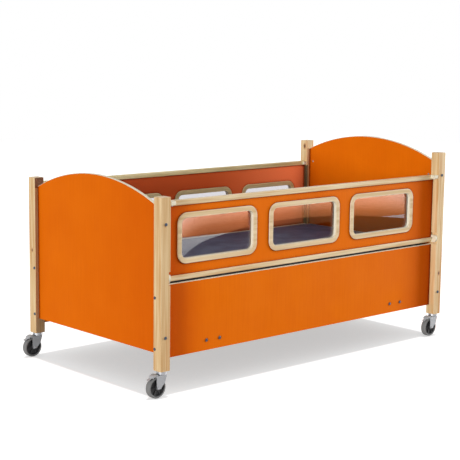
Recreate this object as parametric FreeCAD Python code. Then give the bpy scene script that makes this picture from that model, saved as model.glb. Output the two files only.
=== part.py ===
import FreeCAD, Part
import math
import os

# A pediatric hospital cot, in millimetres.
# X runs from the foot end (-) to the head end (+), Y from the gate side (-) to the
# wall side (+) and Z up from the floor. The origin is on the floor, midway between
# the four posts.

Vec = FreeCAD.Vector

# ---- posts
length_over_posts = 2046.0
width_over_posts = 1077.0
post_x = 55.0
post_y = 56.0
post_edge_radius = 2.0
post_top_chamfer = 1.2
foot_post_top = 938.0
head_post_top = 1040.0
castor_height = 125.0

# ---- laminated panels
panel_thickness = 18.0
panel_edge_chamfer = 3.0
end_panel_inset = 17.7
end_panel_bottom = 203.0
foot_arc_side = 894.0
foot_arc_crown = 999.0
head_arc_side = 992.0
head_arc_crown = 1096.0
side_panel_inset = 36.7
side_panel_bottom = 176.0
side_panel_top = 525.5

# ---- fold-down gate on the front, and the fixed upper side at the back
gate_bottom = 538.0
gate_top = 914.5
gate_end_gap = 3.0
rail_height = 25.0
rail_depth = 28.0
rail_edge_radius = 4.0
groove_depth = 10.0
groove_clearance = 0.2
rear_panel_bottom = 497.0
rear_panel_gap = 0.8

# ---- windows: width and height over the frame, height of the middle, and the margins
# that are left beyond the outermost frames at the foot end and at the head end
gate_window_size = (508.0, 241.0)
gate_window_z = 733.0
gate_window_margins = (66.0, 173.0)
rear_window_size = (436.0, 150.0)
rear_window_z = 724.0
rear_window_margins = (376.0, 90.0)
window_least_gap = 60.0
window_face = 25.0
window_outer_radius = 54.0
window_sight_radius = 28.0
window_proud = 5.0
window_edge_round = 3.0
pane_thickness = 4.0
pane_overlap = 8.0
pane_clearance = 0.3

# ---- gate hinge: a rounded block on the rail's end turns in a notch across the post
hinge_inset = 31.0
hinge_z = 559.5
hinge_notch_height = 63.0
hinge_notch_depth = 10.0
hinge_block_radius = 30.5
hinge_block_low = 23.5
hinge_block_high = 17.0
hinge_block_back = 25.0
hinge_pin_radius = 5.0
hinge_pin_embed = 30.0

# ---- gate latches: a housing on the rail, with a bolt that slides into the post
latch_length = 28.0
latch_height = 19.0
latch_top = 916.0
latch_corner = 3.0
latch_bolt_radius = 4.0
latch_bolt_inset = 16.0
latch_bolt_length = 26.0
latch_bolt_show = 1.0
latch_stroke = 10.0
latch_stud_radius = 3.0
latch_stud_drop = 5.0
latch_stud_from_tip = 17.5
keeper_clearance = 0.5
keeper_spare_depth = 6.0

# ---- fasteners
panel_bolt_radius = 3.0
panel_bolt_head = 6.0
panel_bolt_head_height = 2.5
panel_bolt_tail = 6.0
barrel_nut_radius = 5.0
barrel_nut_length = 14.0
barrel_nut_depth = 32.0
bolt_clearance = 0.3
thread_clearance = 0.05
foot_bolt_z = (283.5, 813.0)
head_bolt_z = (251.5, 914.0)
side_bolt_z = (227.0, 469.0)
rail_screw_inset = 510.0
rail_screw_radius = 2.4
rail_screw_head = 4.6
rail_screw_length = 45.0
dowel_radius = 4.0
dowel_length = 40.0
dowel_z = (560.0, 840.0)

# ---- rear rail brackets
bracket_length = 23.0
bracket_depth = 12.0
bracket_height = 17.0
bracket_corner = 2.5

# ---- base: two steel bearers bolted to the side panels carry a slatted deck
bearer_inset = 299.0
bearer_tube_width = 40.0
bearer_tube_height = 30.0
bearer_tube_wall = 2.0
bearer_plate_width = 120.0
bearer_plate_thickness = 4.0
bearer_plate_drop = 28.0
bearer_plate_corner = 10.0
bearer_flange_depth = 42.0
bearer_gusset = 50.0
base_bolt_pitch = 85.0
base_bolt_z = 225.0
base_bolt_radius = 4.0
base_bolt_head = 5.5
base_bolt_head_height = 3.0
base_bolt_tail = 4.0
base_nut_flats = 13.0
base_nut_height = 6.5
deck_rail_bottom = 355.0
deck_rail_width = 30.0
deck_rail_height = 30.0
deck_end_gap = 12.0
deck_side_gap = 10.0
slat_count = 17
slat_width = 68.0
slat_thickness = 15.0
slat_edge_radius = 3.0
mattress_end_gap = 17.0
mattress_side_gap = 13.5
mattress_side_height = 116.5
mattress_crown = 30.0
mattress_corner = 45.0
seat_gap = 0.3

# ---- castors: the wheel trails towards the foot end
wheel_radius = 50.0
wheel_half_width = 15.0
castor_trail = 35.0
tread_radius = 5.0
tyre_band = 8.5
tyre_bead = 1.2
tyre_fit = 0.1
rim_half_width = 13.0
rim_wall = 4.0
rim_slope = 2.0
hub_radius = 11.0
hub_half_width = 17.5
hub_root = 1.5
web_half_width = 6.0
rib_count = 6
rib_thickness = 3.5
rib_half_width = 11.0
axle_radius = 4.0
axle_head_radius = 5.0
axle_head_height = 3.5
running_clearance = 0.05
fork_inner = 18.0
fork_plate = 3.0
fork_top = 108.5
fork_front = 14.0
fork_crown_low = 104.0
fork_crown_high = 107.0
fork_crown_back = 30.0
fork_waist = (4.0, 72.0)
fork_heel_z = 80.0
fork_foot_front = 18.0
fork_foot_back = 8.5
fork_foot_drop = 5.5
fork_foot_corner = 3.0
raceway_radius = 21.5
raceway_top = 109.0
cup_radius = 25.0
cup_skirt = 2.7
cup_rim_z = 110.5
cup_ceiling_z = 113.0
bearing_inner = 15.5
bearing_outer = 21.7
kingpin_radius = 5.0
kingpin_head_radius = 8.0
kingpin_head_height = 2.5
stem_radius = 6.0
stem_height = 60.0
stem_clearance = 0.1
pedal_pivot_back = 40.0
pedal_pivot_z = 104.0
pedal_pin_radius = 2.0
pedal_half_width = 17.0
pedal_toe_half = 9.0
pedal_toe_start = 24.0

# outline of the brake pedal about its pivot: the crest's arc, then the toe and the shoe
pedal_crest = ((6.0, 8.5), (-14.0, 6.5), (-27.0, -4.0))
pedal_underside = ((-31.0, -6.5), (-45.0, -12.0), (-44.0, -14.0), (-30.5, -8.5), (-22.5, -4.0),
                   (-14.0, 2.5), (-10.0, -3.5), (3.5, -3.0), (5.0, 2.0))

# ---- places worked out from the sizes above
post_in_x = length_over_posts / 2 - post_x
post_in_y = width_over_posts / 2 - post_y
post_mid_x = length_over_posts / 2 - post_x / 2
post_mid_y = width_over_posts / 2 - post_y / 2
end_panel_out_x = length_over_posts / 2 - end_panel_inset
end_panel_in_x = end_panel_out_x - panel_thickness
end_panel_mid_x = end_panel_out_x - panel_thickness / 2
side_panel_out_y = width_over_posts / 2 - side_panel_inset
side_panel_in_y = side_panel_out_y - panel_thickness
side_panel_mid_y = side_panel_out_y - panel_thickness / 2
gate_end_x = post_in_x - gate_end_gap
rear_upper_in_y = side_panel_out_y + rear_panel_gap
rear_upper_mid_y = rear_upper_in_y + panel_thickness / 2
rear_upper_out_y = rear_upper_in_y + panel_thickness
hinge_y = -width_over_posts / 2 + hinge_inset
rail_front_y = -side_panel_mid_y - rail_depth / 2
latch_bolt_y = -width_over_posts / 2 + latch_bolt_inset
latch_bolt_z = latch_top - latch_height / 2
deck_top = deck_rail_bottom + deck_rail_height + slat_thickness
bearer_x = post_in_x - bearer_inset
rail_screw_x = (rail_screw_inset - gate_end_x, 0.0, gate_end_x - rail_screw_inset)
rim_radius = wheel_radius - tyre_band
ends = {"foot": -1, "head": 1}
sides = {"front": -1, "rear": 1}
post_tops = {"foot": foot_post_top, "head": head_post_top}
end_bolt_z = {"foot": foot_bolt_z, "head": head_bolt_z}
arc_heights = {"foot": (foot_arc_side, foot_arc_crown), "head": (head_arc_side, head_arc_crown)}


def block(x0, x1, y0, y1, z0, z1):
    low = Vec(min(x0, x1), min(y0, y1), min(z0, z1))
    return Part.makeBox(abs(x1 - x0), abs(y1 - y0), abs(z1 - z0), low)


def rod(radius, start, direction, length):
    return Part.makeCylinder(radius, length, start, direction)


def edges_along(shape, axis):
    # straight edges parallel to an axis
    found = []
    for edge in shape.Edges:
        run = edge.Vertexes[-1].Point - edge.Vertexes[0].Point
        if run.Length > 0 and abs(abs(run.normalize().dot(axis)) - 1) < 1e-6:
            found.append(edge)
    return found


def edges_at(shape, axis, place):
    # edges that lie wholly in one plane across an axis
    found = []
    for edge in shape.Edges:
        box = edge.BoundBox
        low = Vec(box.XMin, box.YMin, box.ZMin).dot(axis)
        high = Vec(box.XMax, box.YMax, box.ZMax).dot(axis)
        if abs(low - place) < 1e-4 and abs(high - place) < 1e-4:
            found.append(edge)
    return found


def mirrored_x(shape):
    return shape.mirror(Vec(0, 0, 0), Vec(1, 0, 0))


def for_end(shape, sign):
    # a piece is drawn at the head end and mirrored for the foot end
    if sign > 0:
        return shape
    return mirrored_x(shape)


def rounded_slab(centre_x, centre_z, width, height, radius, y_low, y_high):
    # a plate across Y with four rounded corners
    plate = block(centre_x - width / 2, centre_x + width / 2, y_low, y_high,
                  centre_z - height / 2, centre_z + height / 2)
    return plate.makeFillet(radius, edges_along(plate, Vec(0, 1, 0)))


def prism_y(points, y_low, y_high):
    # a straight-sided outline in the XZ plane, carried along Y
    corners = [Vec(x, y_low, z) for x, z in points]
    outline = Part.makePolygon(corners + [corners[0]])
    return Part.Face(outline).extrude(Vec(0, y_high - y_low, 0))


# ---- fasteners ------------------------------------------------------------------

def domed_bolt(face, inward, radius, head_radius, head_height, length):
    # the head stands on the face; the shank runs inward
    head = Part.makeCylinder(head_radius, head_height, face, inward * -1)
    rim = max(head.Edges, key=lambda edge: edge.CenterOfMass.dot(inward * -1))
    head = head.makeChamfer(head_height * 0.45, [rim])
    return head.fuse(rod(radius, face, inward, length)).removeSplitter()


def wood_screw(face, inward, length):
    # countersunk head, flush with the face
    cone = Part.makeCone(rail_screw_head, rail_screw_radius, rail_screw_head - rail_screw_radius,
                         face, inward)
    return cone.fuse(rod(rail_screw_radius, face, inward, length)).removeSplitter()


def wood_screw_hole(face, inward, length):
    head = rail_screw_head + bolt_clearance
    shank = rail_screw_radius + thread_clearance
    cone = Part.makeCone(head, shank, head - shank, face, inward)
    return cone.fuse(rod(shank, face, inward, length + bolt_clearance))


def panel_bolt_places():
    # every bolt that goes through a post into a panel's edge: face point and direction,
    # with the direction of the barrel nut that it meets in the panel
    places = []
    for end, x_sign in ends.items():
        for y_sign in sides.values():
            for z in end_bolt_z[end]:
                face = Vec(x_sign * end_panel_mid_x, y_sign * width_over_posts / 2, z)
                places.append((face, Vec(0, -y_sign, 0), post_y, Vec(x_sign, 0, 0)))
            for z in side_bolt_z:
                face = Vec(x_sign * length_over_posts / 2, y_sign * side_panel_mid_y, z)
                places.append((face, Vec(-x_sign, 0, 0), post_x, Vec(0, y_sign, 0)))
    return places


def panel_bolts():
    bolts = []
    for face, inward, post_size, across in panel_bolt_places():
        length = post_size + barrel_nut_depth + panel_bolt_tail
        bolts.append(domed_bolt(face, inward, panel_bolt_radius, panel_bolt_head,
                                panel_bolt_head_height, length))
    return bolts


def barrel_nuts():
    nuts = []
    for face, inward, post_size, across in panel_bolt_places():
        middle = face + inward * (post_size + barrel_nut_depth)
        start = middle - across * (panel_thickness / 2)
        nut = rod(barrel_nut_radius, start, across, barrel_nut_length)
        thread = rod(panel_bolt_radius + thread_clearance, face, inward, 2 * post_size + barrel_nut_depth)
        nuts.append(nut.cut(thread))
    return nuts


def panel_bolt_holes():
    tools = []
    for face, inward, post_size, across in panel_bolt_places():
        length = post_size + barrel_nut_depth + panel_bolt_tail + bolt_clearance
        shank = rod(panel_bolt_radius + bolt_clearance, face, inward, length)
        middle = face + inward * (post_size + barrel_nut_depth)
        start = middle - across * (panel_thickness / 2)
        pocket = rod(barrel_nut_radius + bolt_clearance, start, across, barrel_nut_length)
        tools.append((shank, pocket))
    return tools


def base_bolt_places():
    places = []
    for x_sign in ends.values():
        for y_sign in sides.values():
            for shift in (-base_bolt_pitch / 2, base_bolt_pitch / 2):
                face = Vec(x_sign * bearer_x + shift, y_sign * side_panel_out_y, base_bolt_z)
                places.append((face, Vec(0, -y_sign, 0)))
    return places


def base_bolts():
    length = panel_thickness + bearer_plate_thickness + base_nut_height + base_bolt_tail
    return [domed_bolt(face, inward, base_bolt_radius, base_bolt_head, base_bolt_head_height, length)
            for face, inward in base_bolt_places()]


def base_nuts():
    nuts = []
    corner = base_nut_flats / math.sqrt(3)
    for face, inward in base_bolt_places():
        seat = face + inward * (panel_thickness + bearer_plate_thickness)
        ring = [seat + Vec(corner * math.cos(turn), 0, corner * math.sin(turn))
                for turn in [math.radians(60 * step) for step in range(7)]]
        nut = Part.Face(Part.makePolygon(ring)).extrude(inward * base_nut_height)
        nuts.append(nut.cut(rod(base_bolt_radius + thread_clearance, face, inward, 2 * panel_thickness)))
    return nuts


def cut_base_bolt_holes(shape):
    for face, inward in base_bolt_places():
        hole = rod(base_bolt_radius + bolt_clearance, face - inward * panel_thickness, inward,
                   3 * panel_thickness)
        if hole.BoundBox.intersect(shape.BoundBox):
            shape = shape.cut(hole)
    return shape


def cut_panel_bolt_holes(shape):
    for shank, pocket in panel_bolt_holes():
        for tool in (shank, pocket):
            if tool.BoundBox.intersect(shape.BoundBox):
                shape = shape.cut(tool)
    return shape


# ---- posts and fixed panels -----------------------------------------------------

def post(end, side):
    x_sign = ends[end]
    y_sign = sides[side]
    body = block(post_in_x, length_over_posts / 2, y_sign * post_in_y, y_sign * width_over_posts / 2,
                 castor_height, post_tops[end])
    body = body.makeFillet(post_edge_radius, edges_along(body, Vec(0, 0, 1)))
    body = body.makeChamfer(post_top_chamfer, edges_at(body, Vec(0, 0, 1), post_tops[end]))
    socket = rod(stem_radius + stem_clearance, Vec(post_mid_x, y_sign * post_mid_y, castor_height),
                 Vec(0, 0, 1), stem_height + stem_clearance)
    body = body.cut(socket)
    if side == "front":
        body = body.cut(hinge_notch()).cut(hinge_pin_hole()).cut(keeper_hole())
    else:
        for start, length in rear_dowel_places():
            body = body.cut(rod(dowel_radius + thread_clearance, start, Vec(1, 0, 0), length))
    return cut_panel_bolt_holes(for_end(body, x_sign))


def end_panel(end):
    x_sign = ends[end]
    side_height, crown_height = arc_heights[end]
    low_left = Vec(end_panel_in_x, -post_in_y, end_panel_bottom)
    low_right = Vec(end_panel_in_x, post_in_y, end_panel_bottom)
    high_left = Vec(end_panel_in_x, -post_in_y, side_height)
    high_right = Vec(end_panel_in_x, post_in_y, side_height)
    crown = Vec(end_panel_in_x, 0, crown_height)
    arc = Part.Arc(high_left, crown, high_right).toShape()
    outline = Part.Wire([Part.makeLine(low_left, high_left), arc,
                         Part.makeLine(high_right, low_right), Part.makeLine(low_right, low_left)])
    panel = Part.Face(outline).extrude(Vec(panel_thickness, 0, 0))
    arcs = [edge for edge in panel.Edges if isinstance(edge.Curve, Part.Circle)]
    panel = panel.makeChamfer(panel_edge_chamfer, arcs)
    return cut_panel_bolt_holes(for_end(panel, x_sign))


def side_lower_panel(side):
    y_sign = sides[side]
    panel = block(-post_in_x, post_in_x, y_sign * side_panel_in_y, y_sign * side_panel_out_y,
                  side_panel_bottom, side_panel_top)
    top = edges_at(panel, Vec(0, 0, 1), side_panel_top)
    long_edges = [edge for edge in top if edge.Length > post_in_x]
    panel = panel.makeChamfer(panel_edge_chamfer, long_edges)
    return cut_base_bolt_holes(cut_panel_bolt_holes(panel))


# ---- windows --------------------------------------------------------------------

def window_places(half_length, size, margins):
    # as many windows as fit, evenly spread between the margins
    first = -half_length + margins[0] + size[0] / 2
    last = half_length - margins[1] - size[0] / 2
    steps = max(1, int((last - first) // (size[0] + window_least_gap)))
    return [first + (last - first) * step / steps for step in range(steps + 1)]


def gate_window_places():
    return window_places(gate_end_x, gate_window_size, gate_window_margins)


def rear_window_places():
    return window_places(post_in_x, rear_window_size, rear_window_margins)


def window_sight(size):
    return size[0] - 2 * window_face, size[1] - 2 * window_face


def cut_windows(panel, places, z, size, face_y, toward):
    # the pane sits in a rebate that is open on the cot's inner face
    width, height = window_sight(size)
    for x in places:
        panel = panel.cut(rounded_slab(x, z, width, height, window_sight_radius,
                                       face_y - toward * panel_thickness * 2,
                                       face_y + toward * panel_thickness * 2))
        grow = 2 * (pane_overlap + pane_clearance)
        panel = panel.cut(rounded_slab(x, z, width + grow, height + grow,
                                       window_sight_radius + pane_overlap + pane_clearance,
                                       face_y - toward * panel_thickness,
                                       face_y + toward * (pane_thickness + pane_clearance)))
    return panel


def window_panes(places, z, size, face_y, toward):
    width, height = window_sight(size)
    return [rounded_slab(x, z, width + 2 * pane_overlap, height + 2 * pane_overlap,
                         window_sight_radius + pane_overlap, face_y,
                         face_y + toward * pane_thickness) for x in places]


def window_frames(places, z, size, face_y, outward):
    # a frame stands proud of the panel's face, with its outer edge rounded
    width, height = window_sight(size)
    front_y = face_y + outward * window_proud
    frames = []
    for x in places:
        frame = rounded_slab(x, z, size[0], size[1], window_outer_radius, face_y, front_y)
        frame = frame.makeFillet(window_edge_round, edges_at(frame, Vec(0, 1, 0), front_y))
        sight = rounded_slab(x, z, width, height, window_sight_radius,
                             face_y - panel_thickness, face_y + panel_thickness)
        frames.append(frame.cut(sight))
    return frames


# ---- rails, gate panel and rear upper panel ---------------------------------------

def rail(half_length, mid_y, z_low, z_high, groove_side):
    # groove_side is -1 for a groove in the underside and +1 for one in the top
    bar = block(-half_length, half_length, mid_y - rail_depth / 2, mid_y + rail_depth / 2, z_low, z_high)
    bar = bar.makeFillet(rail_edge_radius, edges_along(bar, Vec(1, 0, 0)))
    half_groove = panel_thickness / 2 + groove_clearance
    if groove_side < 0:
        groove_z = (z_low - rail_height, z_low + groove_depth + groove_clearance)
    else:
        groove_z = (z_high - groove_depth - groove_clearance, z_high + rail_height)
    return bar.cut(block(-half_length - 1, half_length + 1, mid_y - half_groove, mid_y + half_groove,
                         groove_z[0], groove_z[1]))


def cut_rail_screws(shape, mid_y, rail_z, direction):
    for x in rail_screw_x:
        shape = shape.cut(wood_screw_hole(Vec(x, mid_y, rail_z), Vec(0, 0, direction), rail_screw_length))
    return shape


def gate_top_rail():
    bar = rail(gate_end_x, -side_panel_mid_y, gate_top - rail_height, gate_top, -1)
    return cut_rail_screws(bar, -side_panel_mid_y, gate_top, -1)


def gate_bottom_rail():
    bar = rail(gate_end_x, -side_panel_mid_y, gate_bottom, gate_bottom + rail_height, 1)
    return cut_rail_screws(bar, -side_panel_mid_y, gate_bottom, 1)


def gate_panel():
    panel = block(-gate_end_x, gate_end_x, -side_panel_out_y, -side_panel_in_y,
                  gate_bottom + rail_height - groove_depth, gate_top - rail_height + groove_depth)
    panel = cut_windows(panel, gate_window_places(), gate_window_z, gate_window_size, -side_panel_in_y, -1)
    panel = cut_rail_screws(panel, -side_panel_mid_y, gate_top, -1)
    return cut_rail_screws(panel, -side_panel_mid_y, gate_bottom, 1)


def rear_top_rail():
    bar = rail(post_in_x, rear_upper_mid_y, gate_top - rail_height, gate_top, -1)
    for start, length in rear_dowel_places():
        bar = bar.cut(rod(dowel_radius + thread_clearance, start, Vec(1, 0, 0), length))
        bar = bar.cut(mirrored_x(rod(dowel_radius + thread_clearance, start, Vec(1, 0, 0), length)))
    return cut_rail_screws(bar, rear_upper_mid_y, gate_top, -1)


def rear_upper_panel():
    panel = block(-post_in_x, post_in_x, rear_upper_in_y, rear_upper_out_y,
                  rear_panel_bottom, gate_top - rail_height + groove_depth)
    panel = cut_windows(panel, rear_window_places(), rear_window_z, rear_window_size, rear_upper_in_y, 1)
    for start, length in rear_dowel_places():
        hole = rod(dowel_radius + thread_clearance, start, Vec(1, 0, 0), length)
        panel = panel.cut(hole).cut(mirrored_x(hole))
    return cut_rail_screws(panel, rear_upper_mid_y, gate_top, -1)


def rear_dowel_places():
    # dowels join the ends of the rear upper panel to the head-end post
    start_x = post_in_x - dowel_length / 2
    return [(Vec(start_x, rear_upper_mid_y, z), dowel_length) for z in dowel_z]


def rear_dowels():
    dowels = []
    for start, length in rear_dowel_places():
        dowel = rod(dowel_radius, start, Vec(1, 0, 0), length)
        dowels += [dowel, mirrored_x(dowel)]
    return dowels


def gate_rail_screws():
    screws = []
    for x in rail_screw_x:
        screws.append(wood_screw(Vec(x, -side_panel_mid_y, gate_top), Vec(0, 0, -1), rail_screw_length))
        screws.append(wood_screw(Vec(x, -side_panel_mid_y, gate_bottom), Vec(0, 0, 1), rail_screw_length))
    return screws


def rear_rail_screws():
    return [wood_screw(Vec(x, rear_upper_mid_y, gate_top), Vec(0, 0, -1), rail_screw_length)
            for x in rail_screw_x]


def rear_rail_brackets():
    # blocks in the corner between the rear rail's inner face and each rear post
    rail_in_y = rear_upper_mid_y - rail_depth / 2
    middle_z = gate_top - rail_height / 2
    body = block(post_in_x - bracket_length, post_in_x, rail_in_y - bracket_depth, rail_in_y,
                 middle_z - bracket_height / 2, middle_z + bracket_height / 2)
    free = [edge for edge in edges_along(body, Vec(0, 0, 1))
            if edge.CenterOfMass.x < post_in_x - 1 and edge.CenterOfMass.y < rail_in_y - 1]
    body = body.makeFillet(bracket_corner, free)
    return [body, mirrored_x(body)]


# ---- gate hinge -------------------------------------------------------------------

def hinge_notch():
    return block(post_in_x - 1, post_in_x + hinge_notch_depth, -width_over_posts / 2 - 1, -post_in_y + 1,
                 hinge_z - hinge_notch_height / 2, hinge_z + hinge_notch_height / 2)


def hinge_pin_hole():
    return rod(hinge_pin_radius + thread_clearance, Vec(post_in_x, hinge_y, hinge_z), Vec(1, 0, 0),
               hinge_notch_depth + hinge_pin_embed)


def hinge_blocks():
    # a disc about the pivot, cut flat above, below and behind
    thickness = post_in_x + hinge_notch_depth - seat_gap - gate_end_x
    disc = rod(hinge_block_radius, Vec(gate_end_x, hinge_y, hinge_z), Vec(1, 0, 0), thickness)
    keep = block(gate_end_x, gate_end_x + thickness, hinge_y - hinge_block_radius, hinge_y + hinge_block_back,
                 hinge_z - hinge_block_low, hinge_z + hinge_block_high)
    body = disc.common(keep)
    bore = rod(hinge_pin_radius + running_clearance, Vec(gate_end_x, hinge_y, hinge_z), Vec(1, 0, 0),
               thickness)
    body = body.cut(bore)
    return [body, mirrored_x(body)]


def hinge_pins():
    start = Vec(gate_end_x + seat_gap, hinge_y, hinge_z)
    length = post_in_x + hinge_notch_depth + hinge_pin_embed - start.x
    pin = rod(hinge_pin_radius, start, Vec(1, 0, 0), length)
    return [pin, mirrored_x(pin)]


# ---- gate latches -----------------------------------------------------------------

def keeper_hole():
    depth = latch_stroke + keeper_spare_depth
    return rod(latch_bolt_radius + keeper_clearance, Vec(post_in_x, latch_bolt_y, latch_bolt_z),
               Vec(1, 0, 0), depth)


def latch_tip_x():
    return gate_end_x + latch_bolt_show


def latch_stud_x():
    return latch_tip_x() - latch_stud_from_tip


def latch_housings():
    body = block(gate_end_x - latch_length, gate_end_x, -width_over_posts / 2, rail_front_y,
                 latch_top - latch_height, latch_top)
    front = [edge for edge in edges_along(body, Vec(1, 0, 0)) + edges_along(body, Vec(0, 0, 1))
             if edge.CenterOfMass.y < -width_over_posts / 2 + 1]
    body = body.makeFillet(latch_corner, front)
    bore_start = latch_tip_x() - latch_bolt_length - seat_gap
    body = body.cut(rod(latch_bolt_radius + running_clearance, Vec(bore_start, latch_bolt_y, latch_bolt_z),
                        Vec(1, 0, 0), latch_bolt_length + latch_stroke))
    slot_side = latch_stud_radius + seat_gap
    body = body.cut(block(latch_stud_x() - slot_side, latch_stud_x() + latch_stroke + slot_side,
                          latch_bolt_y - slot_side, latch_bolt_y + slot_side,
                          latch_top - latch_height - 1, latch_bolt_z))
    return [body, mirrored_x(body)]


def latch_bolt(end):
    shank = rod(latch_bolt_radius, Vec(latch_tip_x() - latch_bolt_length, latch_bolt_y, latch_bolt_z),
                Vec(1, 0, 0), latch_bolt_length)
    tip = max(shank.Edges, key=lambda edge: edge.CenterOfMass.x)
    shank = shank.makeChamfer(latch_bolt_show, [tip])
    stud = rod(latch_stud_radius, Vec(latch_stud_x(), latch_bolt_y, latch_bolt_z), Vec(0, 0, -1),
               latch_height / 2 + latch_stud_drop)
    return for_end(shank.fuse(stud).removeSplitter(), ends[end])


# ---- base, deck and mattress --------------------------------------------------------

def cross_bearer(end):
    # a cross tube between two end plates, whose top flanges carry the deck
    plate_low = base_bolt_z - bearer_plate_drop
    half_tube = bearer_tube_width / 2
    tube_low = base_bolt_z - bearer_tube_height / 2
    tube_high = tube_low + bearer_tube_height
    plate_in_y = side_panel_in_y - bearer_plate_thickness
    body = block(-half_tube, half_tube, -plate_in_y, plate_in_y, tube_low, tube_high)
    body = body.cut(block(-half_tube + bearer_tube_wall, half_tube - bearer_tube_wall,
                          -plate_in_y, plate_in_y,
                          tube_low + bearer_tube_wall, tube_high - bearer_tube_wall))
    for y_sign in sides.values():
        plate = block(-bearer_plate_width / 2, bearer_plate_width / 2, y_sign * plate_in_y,
                      y_sign * side_panel_in_y, plate_low, deck_rail_bottom)
        low_corners = [edge for edge in edges_along(plate, Vec(0, 1, 0))
                       if edge.CenterOfMass.z < plate_low + 1]
        plate = plate.makeFillet(bearer_plate_corner, low_corners)
        flange = block(-bearer_plate_width / 2, bearer_plate_width / 2,
                       y_sign * (side_panel_in_y - bearer_flange_depth), y_sign * side_panel_in_y,
                       deck_rail_bottom - bearer_plate_thickness, deck_rail_bottom)
        half = bearer_plate_thickness / 2
        gusset_points = [Vec(-half, y_sign * plate_in_y, tube_high),
                         Vec(-half, y_sign * (plate_in_y - bearer_gusset), tube_high),
                         Vec(-half, y_sign * plate_in_y, tube_high + bearer_gusset)]
        gusset = Part.Face(Part.makePolygon(gusset_points + [gusset_points[0]]))
        gusset = gusset.extrude(Vec(bearer_plate_thickness, 0, 0))
        body = body.fuse([plate, flange, gusset])
    body = body.removeSplitter()
    body.translate(Vec(ends[end] * bearer_x, 0, 0))
    return cut_base_bolt_holes(body)


def deck_half_length():
    return end_panel_in_x - deck_end_gap


def deck_half_width():
    return side_panel_in_y - deck_side_gap


def deck_rails():
    half_x = deck_half_length()
    half_y = deck_half_width()
    top = deck_rail_bottom + deck_rail_height
    rails = []
    for sign in (-1, 1):
        rails.append(block(-half_x, half_x, sign * (half_y - deck_rail_width), sign * half_y,
                           deck_rail_bottom, top))
        rails.append(block(sign * (half_x - deck_rail_width), sign * half_x,
                           -half_y + deck_rail_width, half_y - deck_rail_width, deck_rail_bottom, top))
    return rails


def deck_slats():
    low = deck_rail_bottom + deck_rail_height
    first = -deck_half_length() + slat_width / 2
    pitch = -2 * first / (slat_count - 1)
    slats = []
    for step in range(slat_count):
        middle = first + pitch * step
        slat = block(middle - slat_width / 2, middle + slat_width / 2, -deck_half_width(),
                     deck_half_width(), low, deck_top)
        upper = [edge for edge in edges_along(slat, Vec(0, 1, 0)) if edge.CenterOfMass.z > deck_top - 1]
        slats.append(slat.makeChamfer(slat_edge_radius, upper))
    return slats


def mattress():
    # flat below, crowned across its width
    half_x = end_panel_in_x - mattress_end_gap
    half_y = side_panel_in_y - mattress_side_gap
    low = deck_top + seat_gap
    side_top = low + mattress_side_height
    points = [Vec(-half_x, -half_y, low), Vec(-half_x, -half_y, side_top),
              Vec(-half_x, 0, side_top + mattress_crown), Vec(-half_x, half_y, side_top),
              Vec(-half_x, half_y, low)]
    outline = Part.Wire([Part.makeLine(points[0], points[1]),
                         Part.Arc(points[1], points[2], points[3]).toShape(),
                         Part.makeLine(points[3], points[4]), Part.makeLine(points[4], points[0])])
    pad = Part.Face(outline).extrude(Vec(2 * half_x, 0, 0))
    return pad.makeFillet(mattress_corner, edges_along(pad, Vec(0, 0, 1)))


# ---- castors, drawn about their swivel axis -------------------------------------------

def spun(profile, centre, axis):
    # a closed outline turned about an axis
    closed = Part.makePolygon(profile + [profile[0]])
    return Part.Face(closed).revolve(centre, axis, 360)


def castor_stem():
    # cup, stem and kingpin are riveted together for good
    head_low = fork_crown_low - seat_gap - kingpin_head_height
    profile = [(0, head_low), (kingpin_head_radius, head_low),
               (kingpin_head_radius, fork_crown_low - seat_gap),
               (kingpin_radius, fork_crown_low - seat_gap), (kingpin_radius, cup_ceiling_z),
               (cup_radius - cup_skirt, cup_ceiling_z), (cup_radius - cup_skirt, cup_rim_z),
               (cup_radius, cup_rim_z), (cup_radius, castor_height),
               (stem_radius, castor_height), (stem_radius, castor_height + stem_height),
               (0, castor_height + stem_height)]
    return spun([Vec(r, 0, z) for r, z in profile], Vec(0, 0, 0), Vec(0, 0, 1))


def swivel_bearing():
    low = raceway_top + seat_gap
    ring = rod(bearing_outer, Vec(0, 0, low), Vec(0, 0, 1), cup_ceiling_z - low)
    return ring.cut(rod(bearing_inner, Vec(0, 0, low), Vec(0, 0, 1), cup_ceiling_z - low))


def fork_leg(y_low, y_high):
    # wide under the crown and tapering to a foot about the axle
    pivot_x = -pedal_pivot_back
    boss = fork_top - pedal_pivot_z
    foot_front = -castor_trail + fork_foot_front
    foot_back = -castor_trail - fork_foot_back
    foot_z = wheel_radius - fork_foot_drop
    points = [(pivot_x, fork_top), (fork_front, fork_top), (fork_front, fork_crown_low), fork_waist,
              (foot_front, wheel_radius), (foot_front, foot_z), (foot_back, foot_z),
              (foot_back, wheel_radius), (pivot_x - boss, fork_heel_z), (pivot_x - boss, pedal_pivot_z)]
    leg = prism_y(points, y_low, y_high)
    low_corners = [edge for edge in edges_along(leg, Vec(0, 1, 0)) if edge.CenterOfMass.z < foot_z + 1]
    leg = leg.makeFillet(fork_foot_corner, low_corners)
    shoulder = rod(boss, Vec(pivot_x, y_low, pedal_pivot_z), Vec(0, 1, 0), y_high - y_low)
    leg = leg.fuse(shoulder).removeSplitter()
    holes = [rod(axle_radius + running_clearance, Vec(-castor_trail, y_low, wheel_radius), Vec(0, 1, 0),
                 y_high - y_low),
             rod(pedal_pin_radius + running_clearance, Vec(pivot_x, y_low, pedal_pivot_z), Vec(0, 1, 0),
                 y_high - y_low)]
    return leg.cut(holes)


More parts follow.
